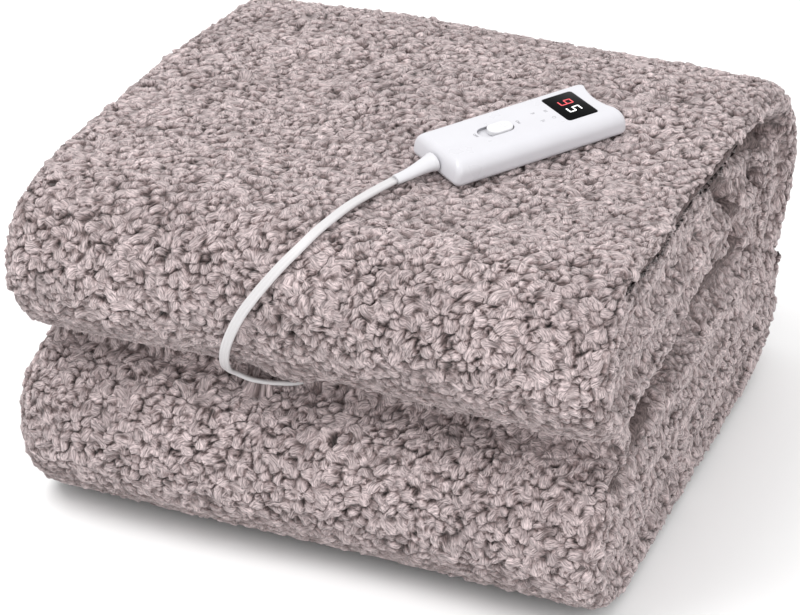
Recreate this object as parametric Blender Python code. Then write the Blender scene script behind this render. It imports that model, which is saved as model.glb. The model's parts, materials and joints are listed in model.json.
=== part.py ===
"""Electric heated blanket, folded, with its handset and flat cord.

Metres, +Z up. The origin is on the surface that the folded blanket lies on,
under the middle of the fold. -Y is the front, where the two big rolls are,
and +X is the end where the edges of the layers show.
"""

import math
from collections import namedtuple

import bmesh
import bpy
from mathutils import Matrix, Vector

# ---------------------------------------------------------------- cloth sizes
FOLD_WIDTH = 0.405          # along X
FOLD_DEPTH = 0.405          # along Y
CLOTH = 0.0268              # doubled cloth with the pile of its four faces
SLIT = 0.0022               # air between one layer and the next
BUNDLE_GAP = 0.0060         # air between the upper and the lower bundle
PITCH = CLOTH + SLIT
HALF = CLOTH / 2
BUNDLE_STEP = CLOTH + BUNDLE_GAP

# Centre heights of the eight layers, counted from the lowest.
LEVEL_1 = HALF
LEVEL_2 = LEVEL_1 + PITCH
LEVEL_3 = LEVEL_2 + PITCH
LEVEL_4 = LEVEL_3 + PITCH
LEVEL_5 = LEVEL_4 + BUNDLE_STEP
LEVEL_6 = LEVEL_5 + PITCH
LEVEL_7 = LEVEL_6 + PITCH
LEVEL_8 = LEVEL_7 + PITCH
FOLD_HEIGHT = LEVEL_8 + HALF

# Where the layers turn, seen from +X: Y to the right and Z up.
ROLL_RADIUS = 1.5 * PITCH
INNER_RADIUS = 0.5 * PITCH
LOWER_ROLL_Z = (LEVEL_1 + LEVEL_4) / 2
UPPER_ROLL_Z = (LEVEL_5 + LEVEL_8) / 2
FRONT_Y = -FOLD_DEPTH / 2 + ROLL_RADIUS + HALF
BACK_Z = (LEVEL_3 + LEVEL_8) / 2
WALL_RADIUS = LEVEL_8 - BACK_Z
INNER_WALL_RADIUS = LEVEL_7 - BACK_Z
BACK_Y = FOLD_DEPTH / 2 - WALL_RADIUS - HALF
TONGUE_SHORT = 0.011        # how far the tongue stays off the back wall's middle
TONGUE_Y = BACK_Y - TONGUE_SHORT
TONGUE_Z = (LEVEL_5 + LEVEL_6) / 2
RISE_2 = 42                 # degrees that the ends of the two lowest layers
RISE_1 = 33                 # follow the back wall upwards

# A row for each turn, in the order of the cloth from its first end to its
# last. Straight runs join one turn to the next. Angles go from +Y to +Z.
Turn = namedtuple("Turn", "name y z radius start end pieces")
TURNS = (
    Turn("end of layer 2", BACK_Y, BACK_Z, BACK_Z - LEVEL_2, RISE_2 - 90, -90, 3),
    Turn("lower inner front", FRONT_Y, LOWER_ROLL_Z, INNER_RADIUS, -90, -270, 5),
    Turn("outer back wall", BACK_Y, BACK_Z, WALL_RADIUS, -90, 90, 10),
    Turn("upper front roll", FRONT_Y, UPPER_ROLL_Z, ROLL_RADIUS, 90, 270, 9),
    Turn("back of the tongue", TONGUE_Y, TONGUE_Z, INNER_RADIUS, -90, 90, 5),
    Turn("upper inner front", FRONT_Y, UPPER_ROLL_Z, INNER_RADIUS, 270, 90, 5),
    Turn("inner back wall", BACK_Y, BACK_Z, INNER_WALL_RADIUS, 90, -90, 7),
    Turn("lower front roll", FRONT_Y, LOWER_ROLL_Z, ROLL_RADIUS, 90, 270, 9),
    Turn("end of layer 1", BACK_Y, BACK_Z, BACK_Z - LEVEL_1, -90, RISE_1 - 90, 3),
)
RUN_PIECES = 9

# How far each stretch of cloth stays back from the two ends of the fold, and
# how much of its half thickness is left under the edge at the right end.
# A row for each turn and each run between turns, in the cloth's order.
Edge = namedtuple("Edge", "name left right under")
EDGES = (
    Edge("end of layer 2", 0.004, 0.006, 1.0),
    Edge("layer 2", 0.001, 0.006, 1.0),
    Edge("lower inner front", 0.004, 0.006, 1.0),
    Edge("layer 3", 0.001, 0.004, 1.0),
    Edge("outer back wall", 0.009, 0.004, 1.0),
    Edge("layer 8, the lip", 0.003, 0.000, 0.55),
    Edge("upper front roll", 0.005, 0.002, 0.8),
    Edge("layer 5", 0.004, 0.009, 1.0),
    Edge("back of the tongue", 0.006, 0.006, 1.0),
    Edge("layer 6", 0.004, 0.010, 1.0),
    Edge("upper inner front", 0.006, 0.014, 1.0),
    Edge("layer 7", 0.004, 0.016, 1.0),
    Edge("inner back wall", 0.007, 0.009, 1.0),
    Edge("layer 4", 0.002, 0.005, 1.0),
    Edge("lower front roll", 0.001, 0.001, 1.0),
    Edge("layer 1", 0.003, 0.005, 1.0),
    Edge("end of layer 1", 0.006, 0.008, 1.0),
)

SPAN_PIECES = 12            # steps across the width, between rounded edges
ROUND_STEPS = (0.0, 32.0, 62.0)   # degrees round an edge, then full thickness
LIP_REACH = 0.055           # width over which the lip thins towards its edge
CLOSED = 1e-6               # shares below this are a closed edge
FACES_UP = 0.5              # a face whose normal rises more than this is a top one

# Unevenness of the lying fold.
CROWN_RISE = 0.0070
CROWN_X = -0.030
CROWN_Y = 0.070
CROWN_SPREAD_X = 0.170
CROWN_SPREAD_Y = 0.150
TOP_WAVE = 0.0016
TOP_WAVE_LENGTH_X = 0.210
TOP_WAVE_LENGTH_Y = 0.260
TOP_WAVE_START_X = 0.8      # radians
TOP_WAVE_START_Y = 0.4
FRONT_WAVE = 0.0028
FRONT_WAVE_LENGTH = 0.290
END_WAVE = 0.0016
END_WAVE_LENGTH = 0.130
END_WAVE_SLANT = 0.6        # forward shift of that wave for each metre of height

# -------------------------------------------------------------- handset sizes
CASE_LENGTH = 0.128
CASE_WIDTH = 0.052
CASE_HEIGHT = 0.0165
CASE_X = 0.0772             # middle of its underside
CASE_Y = -0.0222
CASE_TURN = 55.5            # degrees from +X to the display end
CASE_FALL = 0.075           # slope of the cloth under it
FALL_TURN = -66.0           # degrees from +X to the way down
REST_HEIGHT = 0.2350        # cloth under the middle of the handset
REST_MARGIN = 0.036         # flat cloth round the handset
REST_BLEND = 0.050          # cloth that leads from the flat to the crown
SEAT_GAP = 0.0003           # between pieces that touch
CORNER_RADIUS = 0.0065
CORNER_PIECES = 4           # faces round a corner
CORNER_TIGHTENS = 0.4       # of what a side draws in towards the top
DISPLAY_HOLLOW = 0.0040     # the display end curves inwards by this much
HOLLOW_PIECES = 6
SHARP_ANGLE = 40.0          # degrees between faces that keep their edge
CUT_OVER = 0.0020           # how far a cutter reaches over the case

# Outline of the case from its underside to its top: how far each side stays
# inside the full length and width at that height.
Level = namedtuple("Level", "height side cord_end display_end")
CASE_LEVELS = (
    Level(0.0000, 0.0045, 0.0040, 0.0032),
    Level(0.0016, 0.0014, 0.0012, 0.0010),
    Level(0.0045, 0.0000, 0.0000, 0.0000),
    Level(0.0085, 0.0002, 0.0010, 0.0003),
    Level(0.0118, 0.0014, 0.0022, 0.0010),
    Level(0.0142, 0.0034, 0.0034, 0.0021),
    Level(0.0158, 0.0060, 0.0044, 0.0036),
    Level(CASE_HEIGHT, 0.0090, 0.0056, 0.0054),
)

WINDOW_LENGTH = 0.0225      # along the handset
WINDOW_WIDTH = 0.0310
WINDOW_RADIUS = 0.0020
WINDOW_CENTRE = 0.0373
WINDOW_THICK = 0.0012
WINDOW_PROUD = 0.0002

SLOT_LENGTH = 0.0250
SLOT_WIDTH = 0.0126
SLOT_DEPTH = 0.0022
SLOT_CENTRE = -0.0186
SLOT_END_PIECES = 6         # faces round each half-round end
KNOB_LENGTH = 0.0180
KNOB_HEIGHT = 0.0038
KNOB_PLACE = SLOT_CENTRE + (SLOT_LENGTH - KNOB_LENGTH) / 2 - SEAT_GAP

# The knob from its foot to its top: how far its outline draws in.
KnobLevel = namedtuple("KnobLevel", "height inset")
KNOB_LEVELS = (
    KnobLevel(0.0, 0.0),
    KnobLevel(KNOB_HEIGHT - 0.0012, 0.0),
    KnobLevel(KNOB_HEIGHT - 0.0004, 0.0004),
    KnobLevel(KNOB_HEIGHT, 0.0014),
)

RELIEF_LENGTH = 0.0275
RELIEF_AXIS = 0.0078        # height of its root over the handset's underside
RELIEF_DROP = 0.0044        # how much lower its mouth is
RELIEF_BEND = -0.1          # share of its length where the droop would begin
RELIEF_SIDES = 16

# Rings of the strain relief, from the case to its mouth.
Ring = namedtuple("Ring", "share width height")
RELIEF_RINGS = (
    Ring(0.00, 0.0150, 0.0108),
    Ring(0.06, 0.0150, 0.0108),
    Ring(0.09, 0.0138, 0.0100),
    Ring(0.25, 0.0118, 0.0086),
    Ring(0.45, 0.0100, 0.0072),
    Ring(0.70, 0.0088, 0.0062),
    Ring(0.96, 0.0082, 0.0056),
    Ring(1.00, 0.0076, 0.0050),
)

# ------------------------------------------------------------------- the cord
CORD_ROUND = 0.0044         # thickness of the plain round tube
CORD_STEPS = 78
CORD_SIDES = 2              # bevel resolution, which gives eight sides
FINE_STEPS = 24             # between two points of the route

# The route, from the mouth of the strain relief over the top, down the front
# of the upper roll, into the gap between the bundles and to its sewn end.
CORD_ROUTE = (
    (0.0248, -0.0983, 0.2351),
    (0.0204, -0.1096, 0.2344),
    (0.0167, -0.1234, 0.2344),
    (0.0134, -0.1410, 0.2350),
    (0.0103, -0.1571, 0.2339),
    (0.0052, -0.1704, 0.2298),
    (-0.0005, -0.1813, 0.2232),
    (-0.0080, -0.1892, 0.2145),
    (-0.0160, -0.1957, 0.2039),
    (-0.0233, -0.1993, 0.1935),
    (-0.0304, -0.2013, 0.1823),
    (-0.0366, -0.2011, 0.1706),
    (-0.0428, -0.1983, 0.1573),
    (-0.0473, -0.1933, 0.1460),
    (-0.0508, -0.1864, 0.1357),
    (-0.0538, -0.1767, 0.1257),
    (-0.0511, -0.1695, 0.1194),
    (-0.0445, -0.1651, 0.1146),
    (-0.0351, -0.1624, 0.1131),
    (-0.0262, -0.1612, 0.1138),
    (-0.0148, -0.1562, 0.1143),
    (-0.0050, -0.1430, 0.1166),
    (-0.0020, -0.1220, 0.1171),
    (-0.0020, -0.0990, 0.1174),
    (-0.0080, -0.0750, 0.1177),
    (-0.0350, -0.0450, 0.1181),
    (-0.0750, -0.0350, 0.1180),
    (-0.1120, -0.0100, 0.1180),
    (-0.1220, 0.0300, 0.1180),
    (-0.0980, 0.0660, 0.1184),
    (-0.0550, 0.0780, 0.1187),
    (-0.0100, 0.0620, 0.1184),
    (0.0250, 0.0300, 0.1183),
    (0.0620, 0.0080, 0.1180),
    (0.1020, 0.0100, 0.1176),
    (0.1280, 0.0380, 0.1176),
    (0.1320, 0.0750, 0.1178),
    (0.1300, 0.0980, 0.1177),
)


def in_degrees(angle):
    return math.radians(angle)


def blend(value, low, high):
    """0 below low, 1 above high, and smooth between them."""
    share = min(1.0, max(0.0, (value - low) / (high - low)))
    return share * share * (3 - 2 * share)


# ------------------------------------------------------------ the cloth's path
PathPoint = namedtuple("PathPoint", "y z normal_y normal_z thickness left right under")


def turn_points(turn):
    """Points of one turn, each with the direction in which the cloth goes."""
    sense = 1 if turn.end > turn.start else -1
    points = []
    for step in range(turn.pieces + 1):
        angle = in_degrees(turn.start + (turn.end - turn.start) * step / turn.pieces)
        away = (math.cos(angle), math.sin(angle))
        ahead = (-away[1] * sense, away[0] * sense)
        points.append((turn.y + turn.radius * away[0], turn.z + turn.radius * away[1], ahead))
    return points


def centre_line():
    """Points along the whole cloth, with the stretch of cloth each is in."""
    points = []
    for number, turn in enumerate(TURNS):
        bend = turn_points(turn)
        if points:
            last_y, last_z, ahead = points[-1][0:3]
            for step in range(1, RUN_PIECES):
                share = step / RUN_PIECES
                y = last_y + (bend[0][0] - last_y) * share
                z = last_z + (bend[0][1] - last_z) * share
                points.append((y, z, ahead, 2 * number - 1 + share - 0.5))
        for step, (y, z, ahead) in enumerate(bend):
            points.append((y, z, ahead, 2 * number + step / turn.pieces - 0.5))
    return points


def edge_at(place):
    """Insets and edge thickness at a place counted in stretches of cloth."""
    place = min(len(EDGES) - 1.0, max(0.0, place))
    first = min(len(EDGES) - 2, int(place))
    share = place - first
    values = []
    for before, after in zip(EDGES[first][1:], EDGES[first + 1][1:]):
        values.append(before + (after - before) * share)
    return values


def rounded_path():
    """The cloth's path with a rounded tip at each of its two ends."""
    line = centre_line()
    path = []
    for end, direction in ((0, -1), (-1, 1)):
        y, z, ahead, place = line[end]
        tip = []
        for degrees in ROUND_STEPS:
            reach = HALF * math.cos(in_degrees(degrees)) * direction
            share = math.sin(in_degrees(degrees))
            tip.append((y + ahead[0] * reach, z + ahead[1] * reach, ahead, place, share))
        path.append(tip)
    middle = [(y, z, ahead, place, 1.0) for y, z, ahead, place in line]
    rows = path[0] + middle + path[1][::-1]
    result = []
    for y, z, ahead, place, share in rows:
        left, right, under = edge_at(place)
        result.append(PathPoint(y, z, -ahead[1], ahead[0], share, left, right, under))
    return result


# ------------------------------------------------------- how the fold settles
def crown(x, y):
    """Rise of the top of the fold above its plain height."""
    hill = math.exp(-((x - CROWN_X) / CROWN_SPREAD_X) ** 2 - ((y - CROWN_Y) / CROWN_SPREAD_Y) ** 2)
    wave = math.sin(2 * math.pi * x / TOP_WAVE_LENGTH_X + TOP_WAVE_START_X)
    wave *= math.cos(2 * math.pi * y / TOP_WAVE_LENGTH_Y + TOP_WAVE_START_Y)
    return CROWN_RISE * hill + TOP_WAVE * wave


def settled(x, y, z):
    """Where a point of the evenly folded cloth comes to lie."""
    lift = crown(x, y) * (z / FOLD_HEIGHT) ** 2
    wave = math.sin(2 * math.pi * (x / FRONT_WAVE_LENGTH + z / (2 * FOLD_HEIGHT)))
    forward = FRONT_WAVE * wave * blend(-y, 0.0, -FRONT_Y) * blend(z, 0.0, LEVEL_2)
    end_wave = math.sin(2 * math.pi * (y + END_WAVE_SLANT * z) / END_WAVE_LENGTH)
    outward = END_WAVE * end_wave * (2 * x / FOLD_WIDTH) ** 3 * blend(z, 0.0, LEVEL_2)
    return Vector((x + outward, y + forward, z + lift))


def rest_plane(x, y):
    """Height of the pressed cloth that carries the handset."""
    down = Vector((math.cos(in_degrees(FALL_TURN)), math.sin(in_degrees(FALL_TURN))))
    way = (x - CASE_X) * down.x + (y - CASE_Y) * down.y
    return REST_HEIGHT - CASE_FALL * way


def rest_share(x, y):
    """1 where the cloth is pressed flat by the handset, 0 away from it."""
    turn = in_degrees(CASE_TURN)
    along = (x - CASE_X) * math.cos(turn) + (y - CASE_Y) * math.sin(turn)
    across = -(x - CASE_X) * math.sin(turn) + (y - CASE_Y) * math.cos(turn)
    out_along = max(0.0, abs(along) - CASE_LENGTH / 2)
    out_across = max(0.0, abs(across) - CASE_WIDTH / 2)
    distance = math.hypot(out_along, out_across)
    return 1 - blend(distance, REST_MARGIN, REST_MARGIN + REST_BLEND)


# ------------------------------------------------- materials, objects, meshes
def material(name, colour, roughness, metallic=0.0):
    finish = bpy.data.materials.new(name)
    finish.use_nodes = True
    shader = finish.node_tree.nodes["Principled BSDF"]
    shader.inputs["Base Color"].default_value = (*colour, 1.0)
    shader.inputs["Roughness"].default_value = roughness
    shader.inputs["Metallic"].default_value = metallic
    return finish


def add_object(name, data, finish):
    item = bpy.data.objects.new(name, data)
    bpy.context.scene.collection.objects.link(item)
    item.data.materials.append(finish)
    return item


def mesh_from(name, build, smooth_angle=None):
    """A mesh that the function build fills, with its faces pointing out."""
    work = bmesh.new()
    build(work)
    bmesh.ops.recalc_face_normals(work, faces=work.faces)
    mesh = bpy.data.meshes.new(name)
    work.to_mesh(mesh)
    work.free()
    if smooth_angle is not None:
        mesh.shade_smooth()
        mesh.set_sharp_from_angle(angle=in_degrees(smooth_angle))
    return mesh


# -------------------------------------------------------------------- blanket
def stations(point):
    """Places across the width at one path point, with their thickness."""
    low = -FOLD_WIDTH / 2 + point.left
    high = FOLD_WIDTH / 2 - point.right
    places = []
    for degrees in ROUND_STEPS:
        share = math.sin(in_degrees(degrees))
        places.append((low + HALF * (1 - math.cos(in_degrees(degrees))), share))
    for step in range(SPAN_PIECES + 1):
        share = step / SPAN_PIECES
        places.append((low + HALF + (high - low - CLOTH) * share, 1.0))
    for degrees in reversed(ROUND_STEPS):
        share = math.sin(in_degrees(degrees))
        places.append((high - HALF * (1 - math.cos(in_degrees(degrees))), share))
    return places, high


def cloth_point(point, x, high, share, side):
    """A point on one face of the cloth, before the fold is centred."""
    half = HALF * point.thickness * share
    thin = 1 - blend(x, high - LIP_REACH, high - HALF)
    under = point.under + (1 - point.under) * thin
    above = HALF * (1 - under) / 2 * point.thickness
    shift = side * half * (1 + under) / 2 + above * side_of_lip(point)
    y = point.y + point.normal_y * shift
    z = point.z + point.normal_z * shift
    return settled(x, y, z)


def side_of_lip(point):
    """-1 where the cloth keeps its outer face and thins from inside, else 0."""
    return -1 if point.under < 1 else 0


def cloth_faces(work):
    """Two grids of faces, one for each face of the cloth, joined all round."""
    path = rounded_path()
    grids = {1: [], -1: []}
    top = []
    for number, point in enumerate(path):
        places, high = stations(point)
        rows = {1: [], -1: []}
        for x, share in places:
            closed = point.thickness * share < CLOSED
            for side in (1, -1):
                if closed and side == -1:
                    rows[side].append(rows[1][-1])
                    continue
                vertex = work.verts.new(cloth_point(point, x, high, share, side))
                rows[side].append(vertex)
                outward = point.normal_z * side
                if point.z > LEVEL_8 - HALF and outward > FACES_UP:
                    top.append(vertex)
        for side in (1, -1):
            grids[side].append(rows[side])
    centre_on_origin(work)
    for vertex in top:
        share = rest_share(vertex.co.x, vertex.co.y)
        level = rest_plane(vertex.co.x, vertex.co.y)
        vertex.co.z += (level - vertex.co.z) * share
    for side in (1, -1):
        grid = grids[side]
        for before, after in zip(grid, grid[1:]):
            for place in range(len(before) - 1):
                corners = (before[place], before[place + 1], after[place + 1], after[place])
                work.faces.new(corners[::side])


def centre_on_origin(work):
    """Put the middle of the fold's outline over the origin."""
    xs = [vertex.co.x for vertex in work.verts]
    ys = [vertex.co.y for vertex in work.verts]
    middle = Vector(((min(xs) + max(xs)) / 2, (min(ys) + max(ys)) / 2, 0))
    for vertex in work.verts:
        vertex.co -= middle


def make_blanket():
    finish = material("mushroom grey pile", (0.46, 0.40, 0.385), 0.95)
    mesh = mesh_from("blanket", cloth_faces)
    mesh.shade_smooth()
    return add_object("blanket", mesh, finish)


# -------------------------------------------------------------------- handset
def handset_place():
    """An empty on the pressed cloth, X towards the display, Z off the cloth."""
    down = Vector((math.cos(in_degrees(FALL_TURN)), math.sin(in_degrees(FALL_TURN)), 0))
    away = (Vector((0, 0, 1)) + down * CASE_FALL).normalized()
    ahead = Vector((math.cos(in_degrees(CASE_TURN)), math.sin(in_degrees(CASE_TURN)), 0))
    ahead = (ahead - away * ahead.dot(away)).normalized()
    across = away.cross(ahead)
    place = bpy.data.objects.new("handset_place", None)
    turn = Matrix((ahead, across, away)).transposed().to_4x4()
    seat = Vector((CASE_X, CASE_Y, REST_HEIGHT)) + away * SEAT_GAP
    place.matrix_world = Matrix.Translation(seat) @ turn
    bpy.context.scene.collection.objects.link(place)
    return place


def loft(work, loops):
    """Faces between loops of equal length, closed by a face at each end."""
    rows = [[work.verts.new(corner) for corner in loop] for loop in loops]
    for before, after in zip(rows, rows[1:]):
        for place in range(len(before)):
            following = (place + 1) % len(before)
            work.faces.new((before[place], before[following], after[following], after[place]))
    work.faces.new(rows[0][::-1])
    work.faces.new(rows[-1])


def corner_arc(centre_x, centre_y, radius, first):
    """A quarter circle that starts at the angle first, in degrees."""
    points = []
    for step in range(CORNER_PIECES + 1):
        angle = in_degrees(first + 90 * step / CORNER_PIECES)
        points.append((centre_x + radius * math.cos(angle), centre_y + radius * math.sin(angle)))
    return points


def case_outline(level):
    """The case seen from above, at one height."""
    half_width = CASE_WIDTH / 2 - level.side
    display = CASE_LENGTH / 2 - level.display_end
    tail = -CASE_LENGTH / 2 + level.cord_end
    radius = CORNER_RADIUS - CORNER_TIGHTENS * level.side
    flat = half_width - radius
    points = corner_arc(display - radius, -flat, radius, -90)
    for step in range(1, HOLLOW_PIECES):
        across = -1 + 2 * step / HOLLOW_PIECES
        hollow = DISPLAY_HOLLOW * (1 - across * across)
        points.append((display - hollow, flat * across))
    points += corner_arc(display - radius, flat, radius, 0)
    points += corner_arc(tail + radius, flat, radius, 90)
    points += corner_arc(tail + radius, -flat, radius, 180)
    return [(x, y, level.height) for x, y in points]


def rounded_outline(length, width, radius, centre, height):
    """A rectangle with round corners, centred on the handset's long axis."""
    flat_x = length / 2 - radius
    flat_y = width / 2 - radius
    points = corner_arc(centre + flat_x, -flat_y, radius, -90)
    points += corner_arc(centre + flat_x, flat_y, radius, 0)
    points += corner_arc(centre - flat_x, flat_y, radius, 90)
    points += corner_arc(centre - flat_x, -flat_y, radius, 180)
    return [(x, y, height) for x, y in points]


def pill_outline(length, width, centre, height):
    """A slot with half-round ends."""
    radius = width / 2
    reach = length / 2 - radius
    points = []
    for side, first in ((1, -90), (-1, 90)):
        for step in range(SLOT_END_PIECES + 1):
            angle = in_degrees(first + 180 * step / SLOT_END_PIECES)
            x = centre + side * reach + radius * math.cos(angle)
            points.append((x, radius * math.sin(angle), height))
    return points


def cutter(name, loops, place):
    """A guide solid that a Boolean cuts with."""
    item = bpy.data.objects.new(name, mesh_from(name, lambda work: loft(work, loops)))
    bpy.context.scene.collection.objects.link(item)
    item.parent = place
    item.hide_render = True
    item.display_type = "WIRE"
    return item


def make_case(place):
    finish = material("white glossy plastic", (0.87, 0.87, 0.89), 0.22)
    loops = [case_outline(level) for level in CASE_LEVELS]
    mesh = mesh_from("handset_case", lambda work: loft(work, loops), SHARP_ANGLE)
    case = add_object("handset_case", mesh, finish)
    case.parent = place
    window_floor = CASE_HEIGHT + WINDOW_PROUD - WINDOW_THICK - SEAT_GAP
    over = CASE_HEIGHT + CUT_OVER
    size = (WINDOW_LENGTH + 2 * SEAT_GAP, WINDOW_WIDTH + 2 * SEAT_GAP, WINDOW_RADIUS + SEAT_GAP)
    pocket = [rounded_outline(*size, WINDOW_CENTRE, height) for height in (window_floor, over)]
    slot_floor = CASE_HEIGHT - SLOT_DEPTH
    slot_size = (SLOT_LENGTH, SLOT_WIDTH, SLOT_CENTRE)
    slot = [pill_outline(*slot_size, height) for height in (slot_floor, over)]
    for name, shape in (("window_pocket", pocket), ("switch_slot", slot)):
        cut = case.modifiers.new(name, "BOOLEAN")
        cut.operation = "DIFFERENCE"
        cut.solver = "EXACT"
        cut.object = cutter(name, shape, place)
    return case


def make_window(place):
    finish = material("black display window", (0.012, 0.012, 0.014), 0.08)
    top = CASE_HEIGHT + WINDOW_PROUD
    bottom = top - WINDOW_THICK
    size = (WINDOW_LENGTH, WINDOW_WIDTH, WINDOW_RADIUS, WINDOW_CENTRE)
    loops = [rounded_outline(*size, height) for height in (bottom, top)]
    mesh = mesh_from("display_window", lambda work: loft(work, loops), SHARP_ANGLE)
    window = add_object("display_window", mesh, finish)
    window.parent = place
    return window


def make_knob(place):
    finish = material("white knob plastic", (0.89, 0.89, 0.90), 0.28)
    width = SLOT_WIDTH - 2 * SEAT_GAP
    loops = []
    for height, inset in KNOB_LEVELS:
        loops.append(pill_outline(KNOB_LENGTH - 2 * inset, width - 2 * inset, 0.0, height))
    mesh = mesh_from("slide_knob", lambda work: loft(work, loops), SHARP_ANGLE)
    knob = add_object("slide_knob", mesh, finish)
    knob.parent = place
    knob.location = (KNOB_PLACE, 0.0, CASE_HEIGHT - SLOT_DEPTH + SEAT_GAP)
    return knob


def relief_ring(ring):
    """One ring of the strain relief, square to the handset's long axis."""
    x = -CASE_LENGTH / 2 - SEAT_GAP - RELIEF_LENGTH * ring.share
    z = RELIEF_AXIS - RELIEF_DROP * blend(ring.share, RELIEF_BEND, 1.0)
    points = []
    for side in range(RELIEF_SIDES):
        angle = 2 * math.pi * side / RELIEF_SIDES
        across = ring.width / 2 * math.cos(angle)
        points.append((x, across, z + ring.height / 2 * math.sin(angle)))
    return points


def make_strain_relief(place):
    finish = material("white soft plastic", (0.84, 0.84, 0.86), 0.42)
    loops = [relief_ring(ring) for ring in RELIEF_RINGS]
    mesh = mesh_from("strain_relief", lambda work: loft(work, loops), SHARP_ANGLE)
    relief = add_object("strain_relief", mesh, finish)
    relief.parent = place
    return relief


# ----------------------------------------------------------------------- cord
def smooth_route(route, steps):
    """Points at even distances along one smooth curve through the route."""
    points = [Vector(point) for point in route]
    ends = [2 * points[0] - points[1]] + points + [2 * points[-1] - points[-2]]
    fine = []
    for first, second, third, fourth in zip(ends, ends[1:], ends[2:], ends[3:]):
        for step in range(FINE_STEPS):
            t = step / FINE_STEPS
            slope_in = (third - first) * (t - 2 * t ** 2 + t ** 3) / 2
            slope_out = (fourth - second) * (t ** 3 - t ** 2) / 2
            start = second * (1 - 3 * t ** 2 + 2 * t ** 3)
            finish = third * (3 * t ** 2 - 2 * t ** 3)
            fine.append(start + slope_in + finish + slope_out)
    fine.append(points[-1])
    distances = [0.0]
    for before, after in zip(fine, fine[1:]):
        distances.append(distances[-1] + (after - before).length)
    even = []
    place = 0
    for step in range(steps + 1):
        wanted = distances[-1] * step / steps
        while place < len(fine) - 2 and distances[place + 1] < wanted:
            place += 1
        span = distances[place + 1] - distances[place]
        even.append(fine[place].lerp(fine[place + 1], (wanted - distances[place]) / span))
    return even


def make_cord():
    finish = material("white cord", (0.85, 0.85, 0.87), 0.38)
    curve = bpy.data.curves.new("cord", "CURVE")
    curve.dimensions = "3D"
    curve.bevel_depth = CORD_ROUND / 2
    curve.bevel_resolution = CORD_SIDES
    curve.use_fill_caps = True
    points = smooth_route(CORD_ROUTE, CORD_STEPS)
    line = curve.splines.new("POLY")
    line.points.add(len(points) - 1)
    for slot, point in zip(line.points, points):
        slot.co = (*point, 1.0)
    return add_object("cord", curve, finish)


# --------------------------------------------------------------- the whole lot
def clear_scene():
    for item in list(bpy.data.objects):
        bpy.data.objects.remove(item, do_unlink=True)


def main():
    clear_scene()
    make_blanket()
    place = handset_place()
    make_case(place)
    make_window(place)
    make_knob(place)
    make_strain_relief(place)
    make_cord()


main()
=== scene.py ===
# %% [markdown]
# # A folded electric heated blanket
#
# The real thing is a thick throw of curly teddy pile. It is folded into two
# bundles that lie on each other, with the round folds towards the viewer. A
# white handset lies on top, and its flat white cord runs over the front of the
# fold and in between the bundles.
#
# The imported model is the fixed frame: it holds every place and size. This
# lesson puts the looks round it, piece by piece.

# %% Load the frame
import json
import math

import bmesh
import bpy
import numpy as np
from mathutils import Matrix, Vector
from mathutils.bvhtree import BVHTree
from mathutils.kdtree import KDTree
from mathutils.noise import noise_vector, seed_set


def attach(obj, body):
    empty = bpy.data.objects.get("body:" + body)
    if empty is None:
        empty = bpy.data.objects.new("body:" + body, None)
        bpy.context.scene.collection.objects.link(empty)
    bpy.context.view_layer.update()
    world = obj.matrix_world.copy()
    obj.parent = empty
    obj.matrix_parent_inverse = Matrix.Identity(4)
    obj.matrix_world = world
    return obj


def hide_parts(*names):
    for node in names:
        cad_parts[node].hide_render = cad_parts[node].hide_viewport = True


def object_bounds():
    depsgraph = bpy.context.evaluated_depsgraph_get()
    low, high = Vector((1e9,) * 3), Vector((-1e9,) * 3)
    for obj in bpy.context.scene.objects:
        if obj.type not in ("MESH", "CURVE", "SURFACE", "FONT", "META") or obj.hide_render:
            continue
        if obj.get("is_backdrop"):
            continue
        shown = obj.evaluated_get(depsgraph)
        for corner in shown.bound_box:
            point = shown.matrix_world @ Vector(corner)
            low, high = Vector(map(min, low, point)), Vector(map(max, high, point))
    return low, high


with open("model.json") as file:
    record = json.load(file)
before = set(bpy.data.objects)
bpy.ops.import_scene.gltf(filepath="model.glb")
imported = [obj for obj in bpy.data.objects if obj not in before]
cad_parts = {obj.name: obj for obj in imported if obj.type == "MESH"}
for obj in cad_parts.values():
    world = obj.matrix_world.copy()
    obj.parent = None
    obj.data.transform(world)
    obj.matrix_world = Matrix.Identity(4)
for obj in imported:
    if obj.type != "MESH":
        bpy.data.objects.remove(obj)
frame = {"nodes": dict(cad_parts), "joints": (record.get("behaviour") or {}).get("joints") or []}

CAD_BOX = [list(corner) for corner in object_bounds()]
MM = 0.001
print("frame:", ", ".join(sorted(frame["nodes"])))

# %% [markdown]
# ## The camera
#
# The picture was taken with a long lens from a little above. The camera is put
# on a sphere round a point in the fold, by its direction and distance, and
# turned by a small roll. A look-at constraint would do too, but three named
# angles are easier to correct.

# %% Camera
VIEW_AZIMUTH = 23.7         # degrees from -Y towards +X
VIEW_ELEVATION = 29.0
VIEW_ROLL = -0.4
VIEW_DISTANCE = 1.80
LENS_MM = 121.5
AIM = Vector((0.0, 0.0, 0.1))
AIM_RIGHT = -0.0140
AIM_UP = -0.0082


def camera_axes():
    """Right, up and back of the camera, before its roll is taken off."""
    azimuth = math.radians(VIEW_AZIMUTH)
    elevation = math.radians(VIEW_ELEVATION)
    roll = math.radians(VIEW_ROLL)
    flat = math.cos(elevation)
    back = Vector((math.sin(azimuth) * flat, -math.cos(azimuth) * flat, math.sin(elevation)))
    level = Vector((math.cos(azimuth), math.sin(azimuth), 0.0))
    upright = back.cross(level)
    right = level * math.cos(roll) + upright * math.sin(roll)
    up = upright * math.cos(roll) - level * math.sin(roll)
    return right, up, back


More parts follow.
